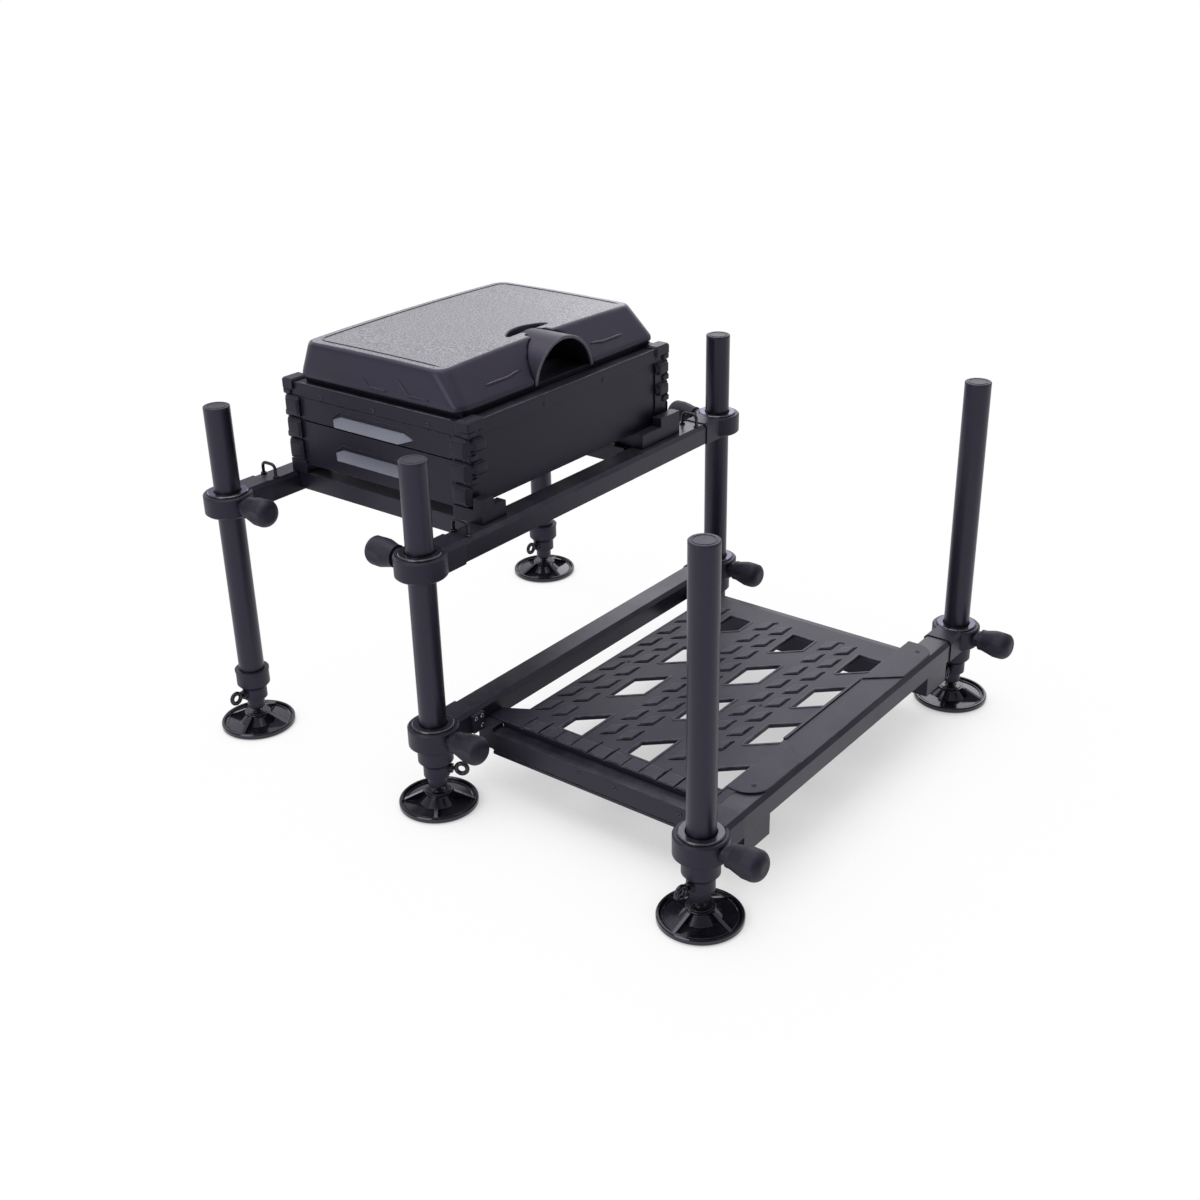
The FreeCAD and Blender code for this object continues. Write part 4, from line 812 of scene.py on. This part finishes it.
even_mesh.materials.clear()
even_mesh.materials.append(foam.material)
for face in even_mesh.polygons:
    face.use_smooth = True
for vertex in even_mesh.vertices:
    vertex.co.z = min(vertex.co.z, PAD_CREST)
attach(seat_pad, "lid")
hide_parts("seat_pad")

pad_points = [vertex.co for vertex in even_mesh.vertices]
pad_skin = BVHTree.FromPolygons(pad_points, [face.vertices for face in even_mesh.polygons])


def bead(name, path, look, width, height, finish):
    """A low round bead on the pad that follows a path seen from a given side."""
    look = Vector(look).normalized()
    laid = []
    for start, end in zip(path, path[1:]):
        start, end = Vector(start), Vector(end)
        pieces = max(1, int((end - start).length / 0.004))
        laid += [start.lerp(end, step / pieces) for step in range(pieces)]
    laid.append(Vector(path[-1]))
    spots = []
    for point in laid:
        place, normal, _, _ = pad_skin.ray_cast(point - look * 0.05, look)
        if place is not None:
            spots.append((place, normal))
    return relief(name, spots, width, height, finish, "lid", "pad_foam")


border_x = PAD_HALF - BORDER_INSET
corner_arc = [math.radians(angle) for angle in range(0, 91, 15)]
border_half = [(border_x, BORDER_FRONT, PAD_TOP)]
for angle in corner_arc:
    border_half.append((
        border_x - BORDER_CORNER + BORDER_CORNER * math.cos(angle),
        BORDER_REAR - BORDER_CORNER + BORDER_CORNER * math.sin(angle),
        PAD_TOP,
    ))
border_path = border_half + [(-x, y, z) for x, y, z in reversed(border_half)]
bead("lid_border", border_path, (0, 0, -1), 0.0036, 0.0009, foam)

zigzag_end = [(0.253, 0.5225), (0.238, 0.5100), (0.205, 0.5100)]
zigzag_next = [(0.187, 0.5300), (0.167, 0.5110), (0.130, 0.5110)]
for side, word in ((-1, "left"), (1, "right")):
    for number, line in enumerate((zigzag_end, zigzag_next), 1):
        path = [(side * PAD_HALF, y, z) for y, z in line]
        bead(f"end_zigzag_{word}_{number}", path, (-side, 0, 0), 0.0044, 0.0014, foam)
    front_line = [(-side * x, PAD_FRONT, z) for x, z in
                  ((0.148, 0.5223), (0.100, 0.5223), (0.084, 0.5245), (0.074, 0.5245))]
    bead(f"front_zigzag_{word}", front_line, (0, 1, 0), 0.0044, 0.0014, foam)

# The carry handle is an arched plastic shell let into the front of the pad.
# Its front edge is turned out into a thin rim, coloured paler than the shell.
ARCH_RADIUS = 0.063
ARCH_LEVEL = 0.4925
ARCH_FOOT = 0.5020
ARCH_STEPS = 48
# Its crevice reach of 7 cm paints shade deep into the handle's hollow.
arch_skin = coated("handle_plastic", (0.0180, 0.0162, 0.0297), (0.16, 0.16, 0.18), 0.42, grain=700,
                   depth=0.0001, edge=0.001, wear_and_highlight=0.7, dust_and_sheen=0.05, reach=0.07, specular=0.45)
wear_finish(arch_skin, "lid_handle")
pale_rim = coated("handle_rim_plastic", (0.075, 0.073, 0.084), (0.30, 0.30, 0.33), 0.36, grain=700,
                  depth=0.0001, edge=0.0012, wear_and_highlight=0.8, dust_and_sheen=0.03, reach=0.002)
arch_shape = bmesh.new()
arch_section = [(-0.0046, 0.0012), (-0.0046, -0.0008), (-0.0038, -0.0016), (-0.0008, -0.0016),
                (-0.0001, -0.0008), (-0.0001, 0.0012)]
arch_rows = []
lowest = math.asin((ARCH_FOOT - ARCH_LEVEL) / ARCH_RADIUS)
for step in range(ARCH_STEPS + 1):
    angle = lowest + (math.pi - 2 * lowest) * step / ARCH_STEPS
    arch_rows.append([
        arch_shape.verts.new((
            (ARCH_RADIUS + out) * math.cos(angle),
            PAD_FRONT + forward,
            ARCH_LEVEL + (ARCH_RADIUS + out) * math.sin(angle),
        ))
        for out, forward in arch_section
    ])
skin(arch_shape, arch_rows, capped=True)
bmesh.ops.recalc_face_normals(arch_shape, faces=arch_shape.faces)
made("handle_rim", arch_shape, pale_rim, "lid")

# The tread plate is an aluminium panel under a satin black coat, held on the side rails by
# small screws. Every drain hole has a raised lip. Low slanted tiles between the holes and
# straight ones along one edge give the feet grip.
PLATE_TOP = 0.100
END_HOLE_WIDTH = 0.032
HOLE_FIRST_ROW = -0.072
HOLE_DEPTH = 0.035
HOLE_ROW_PITCH = 0.1095
HOLE_WIDTH = 0.060
HOLE_SLANT = 0.032
HOLE_PITCH = 0.118
HOLE_START = -0.107
LEFT_EDGE = -0.212
RIGHT_EDGE = 0.196
LIP = [(0.0003, -0.0003), (0.0003, 0.0004), (0.0007, 0.0008), (0.0034, 0.0008),
       (0.0042, 0.0002), (0.0042, -0.0003)]
# The pale edges of the plate, the lips and the tiles are partly wear, partly a painted highlight;
# the dark lines at their feet are painted shade.
tread = coated("tread_plate_coat", (0.0140, 0.0126, 0.0231), (0.26, 0.26, 0.28), 0.42, grain=900,
               depth=0.00010, edge=0.0009, wear_and_highlight=0.9, dust_and_sheen=0.06, reach=0.006, specular=0.3)
wear_finish(tread, "tread_plate")
trodden_and_lit = coated("relief_worn_and_lit", (0.016, 0.0144, 0.0264), (0.30, 0.30, 0.33), 0.40, grain=900,
                 depth=0.00010, edge=0.0016, wear_and_highlight=1.0, dust_and_sheen=0.1, reach=0.003, specular=0.3)


def hole_corners(column, front):
    """The corners of a drain hole, counted round against the clock from above."""
    rear = front - HOLE_DEPTH
    if column == 0:
        right = LEFT_EDGE + END_HOLE_WIDTH
        return [(LEFT_EDGE, front), (LEFT_EDGE, rear), (right + HOLE_SLANT, rear), (right, front)]
    start = HOLE_START + (column - 1) * HOLE_PITCH
    if column == 3:
        return [(start, front), (start + HOLE_SLANT, rear), (RIGHT_EDGE, rear),
                (RIGHT_EDGE, front)]
    end = start + HOLE_WIDTH
    return [(start, front), (start + HOLE_SLANT, rear), (end + HOLE_SLANT, rear), (end, front)]


def rounded_round(corners, distance, steps=6):
    """An outline a given distance outside a polygon, with arcs round its corners."""
    outline = []
    count = len(corners)
    for number in range(count):
        before = Vector(corners[number - 1])
        here = Vector(corners[number])
        after = Vector(corners[(number + 1) % count])
        first = here - before
        second = after - here
        start = math.atan2(-first.x, first.y)
        sweep = (math.atan2(-second.x, second.y) - start) % math.tau
        for step in range(steps + 1):
            angle = start + sweep * step / steps
            outline.append((
                here.x + distance * math.cos(angle),
                here.y + distance * math.sin(angle),
            ))
    return outline


holes = {
    (row, column): hole_corners(column, HOLE_FIRST_ROW - row * HOLE_ROW_PITCH)
    for row in range(3) for column in range(4)
}
for (row, column), corners in holes.items():
    lip_shape = bmesh.new()
    rings = [
        [lip_shape.verts.new((x, y, PLATE_TOP + height)) for x, y in rounded_round(corners, away)]
        for away, height in LIP
    ]
    skin(lip_shape, rings + rings[:1], capped=False)
    bmesh.ops.recalc_face_normals(lip_shape, faces=lip_shape.faces)
    made(f"hole_lip_{row + 1}_{column + 1}", lip_shape, trodden_and_lit, "footplate")

GROOVE_START = -0.197
GROOVE_FIRST_ROW = -0.014
GROOVE_ROW_STEP = 0.027
GROOVE_PITCH = 0.04625
GROOVE_SLANT = 0.015
GROOVE_RUN = 0.028
TILE_GAP = 0.0042
TILE_CUT = 0.0036
TILE_HEIGHT = 0.0013
TILE_EASE = 0.0009
TILE_FOOT = PLATE_TOP - 0.0003
HOLE_MARGIN = 0.005


def near_hole(x, y):
    """Whether a point of the plate lies on a drain hole or its lip."""
    for corners in holes.values():
        xs = [corner[0] for corner in corners]
        ys = [corner[1] for corner in corners]
        if min(xs) - HOLE_MARGIN < x < max(xs) + HOLE_MARGIN:
            if min(ys) - HOLE_MARGIN < y < max(ys) + HOLE_MARGIN:
                return True
    return False


def tread_tile(name, x, y):
    """A raised slanted tile with two cut corners, which fills the angle of a groove."""
    drop = GROOVE_SLANT - 0.0008
    left = Vector((x + TILE_GAP, y))
    low_left = left + Vector((drop, -drop))
    low_right = Vector((x + GROOVE_SLANT + GROOVE_RUN, y - drop))
    right = low_right + Vector((-drop, drop))
    if any(near_hole(*corner) for corner in (left, low_left, low_right, right)):
        return
    along = Vector((TILE_CUT, 0))
    down = Vector((TILE_CUT * 0.7, -TILE_CUT * 0.7))
    outline = [left + down, low_left, low_right - along, low_right - down, right, left + along]
    slab(name, outline, TILE_FOOT, PLATE_TOP + TILE_HEIGHT, TILE_EASE, trodden_and_lit, "footplate")


for row in range(6):
    y = GROOVE_FIRST_ROW - row // 2 * HOLE_ROW_PITCH - row % 2 * GROOVE_ROW_STEP
    for column in range(9):
        tread_tile(f"tread_tile_{row + 1}_{column + 1}", GROOVE_START + column * GROOVE_PITCH, y)

EDGE_TILE_PITCH = HOLE_ROW_PITCH / 4
EDGE_TILE_START = -0.0316
EDGE_TILE_OUTER = -0.2412
EDGE_TILE_INNER = -0.2175
EDGE_TILE_GAP = 0.0030
for number in range(11):
    front = EDGE_TILE_START - number * EDGE_TILE_PITCH
    rear = front - EDGE_TILE_PITCH + EDGE_TILE_GAP
    strip(f"edge_tile_{number + 1}", EDGE_TILE_OUTER, EDGE_TILE_INNER, rear, front, TILE_FOOT,
          PLATE_TOP + TILE_HEIGHT, trodden_and_lit, "footplate", TILE_EASE)

plate_screws = [(-0.2330, -0.0330), (-0.0100, -0.0330), (0.2160, -0.1410), (0.2160, -0.2530),
                (-0.0077, -0.2530)]
for number, (x, y) in enumerate(plate_screws, 1):
    turned_piece(f"plate_screw_{number}", SCREW_HEAD, (x, y, PLATE_TOP), dark_steel, "footplate",
                 (0, 0, 1), 24)

# The cover plate of coated aluminium lies on the outer beam: a thin panel between two thicker
# end tongues, each held by one screw. A narrow lip stiffens its inner edge.
BEAM_TOP = 0.12125
COVER_INNER = -0.347
COVER_OUTER = -0.3905
COVER_HALF = 0.2345
COVER_CORNER = 0.028
TONGUE_TOP = 0.1239
TONGUE_INNER = 0.0990
TONGUE_OUTER = 0.1355
PANEL_TOP = 0.1222
COVER_LIP_HALF = 0.097
COVER_LIP_WIDTH = 0.0045
COVER_LIP_DROP = 0.003
cover_end = [(TONGUE_INNER, COVER_INNER), (TONGUE_OUTER, COVER_OUTER), (0.2030, COVER_OUTER)]
for angle in range(-75, 1, 15):
    cover_end.append((
        COVER_HALF - COVER_CORNER + COVER_CORNER * math.cos(math.radians(angle)),
        COVER_OUTER + COVER_CORNER + COVER_CORNER * math.sin(math.radians(angle)),
    ))
cover_end.append((COVER_HALF, COVER_INNER))
right_tongue = slab("cover_tongue_right", cover_end, BEAM_TOP, TONGUE_TOP, 0.0005, tread,
                    "footplate")
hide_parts("cover_plate")
slab("cover_tongue_left", [(-x, y) for x, y in reversed(cover_end)], BEAM_TOP, TONGUE_TOP, 0.0005,
     tread, "footplate")
panel_outline = [(-TONGUE_INNER, COVER_INNER), (-TONGUE_OUTER, COVER_OUTER),
                 (TONGUE_OUTER, COVER_OUTER), (TONGUE_INNER, COVER_INNER)]
slab("cover_panel", panel_outline, BEAM_TOP, PANEL_TOP, 0.0004, tread, "footplate")
strip("cover_lip", -COVER_LIP_HALF, COVER_LIP_HALF, COVER_INNER, COVER_INNER + COVER_LIP_WIDTH,
      BEAM_TOP - COVER_LIP_DROP, TONGUE_TOP, tread, "footplate")
for side, word in ((-1, "left"), (1, "right")):
    turned_piece(f"cover_screw_{word}", SCREW_HEAD, (side * 0.2125, -0.3720, TONGUE_TOP),
                 dark_steel, "footplate", (0, 0, 1), 24)

# A small bracket of black plastic holds each side rail to the inner beam.
# Its three plated screws are the only bright metal on the footplate, and three dark ones go
# into the side rail's outer face.
BRACKET_SIDES = (0.2600, 0.2820)
BRACKET_FACE = 0.0245
BRACKET_FRONT = BRACKET_FACE - 0.0065
BRACKET_FOOT = 0.0925
BRACKET_TOP = 0.1185
BRACKET_SCREWS = ((0.2655, 0.1130), (0.2765, 0.1130), (0.2655, 0.0990))
SIDE_RAIL_FACE = 0.265
SIDE_RAIL_SCREWS = (-0.142, -0.200, -0.300)
SIDE_RAIL_SCREW_LEVEL = 0.0815
bright_steel = coated("bright_screw_steel", (0.42, 0.42, 0.43), (0.7, 0.7, 0.7), 0.25, wear_and_highlight=0.5,
                      metallic=0.95, dust_and_sheen=0.02, reach=0.0015)
for side, word in ((-1, "left"), (1, "right")):
    near, far = sorted(side * x for x in BRACKET_SIDES)
    strip(f"rail_bracket_{word}", near, far, BRACKET_FRONT, BRACKET_FACE, BRACKET_FOOT, BRACKET_TOP,
          nylon, "footplate", 0.0015)
    for number, (x, z) in enumerate(BRACKET_SCREWS, 1):
        turned_piece(f"bracket_screw_{word}_{number}", SCREW_HEAD, (side * x, BRACKET_FRONT, z),
                     bright_steel, "footplate", (0, -1, 0), 24)
    for number, y in enumerate(SIDE_RAIL_SCREWS, 1):
        turned_piece(f"side_rail_screw_{word}_{number}", SCREW_HEAD,
                     (side * SIDE_RAIL_FACE, y, SIDE_RAIL_SCREW_LEVEL), dark_steel, "footplate",
                     (side, 0, 0), 24)
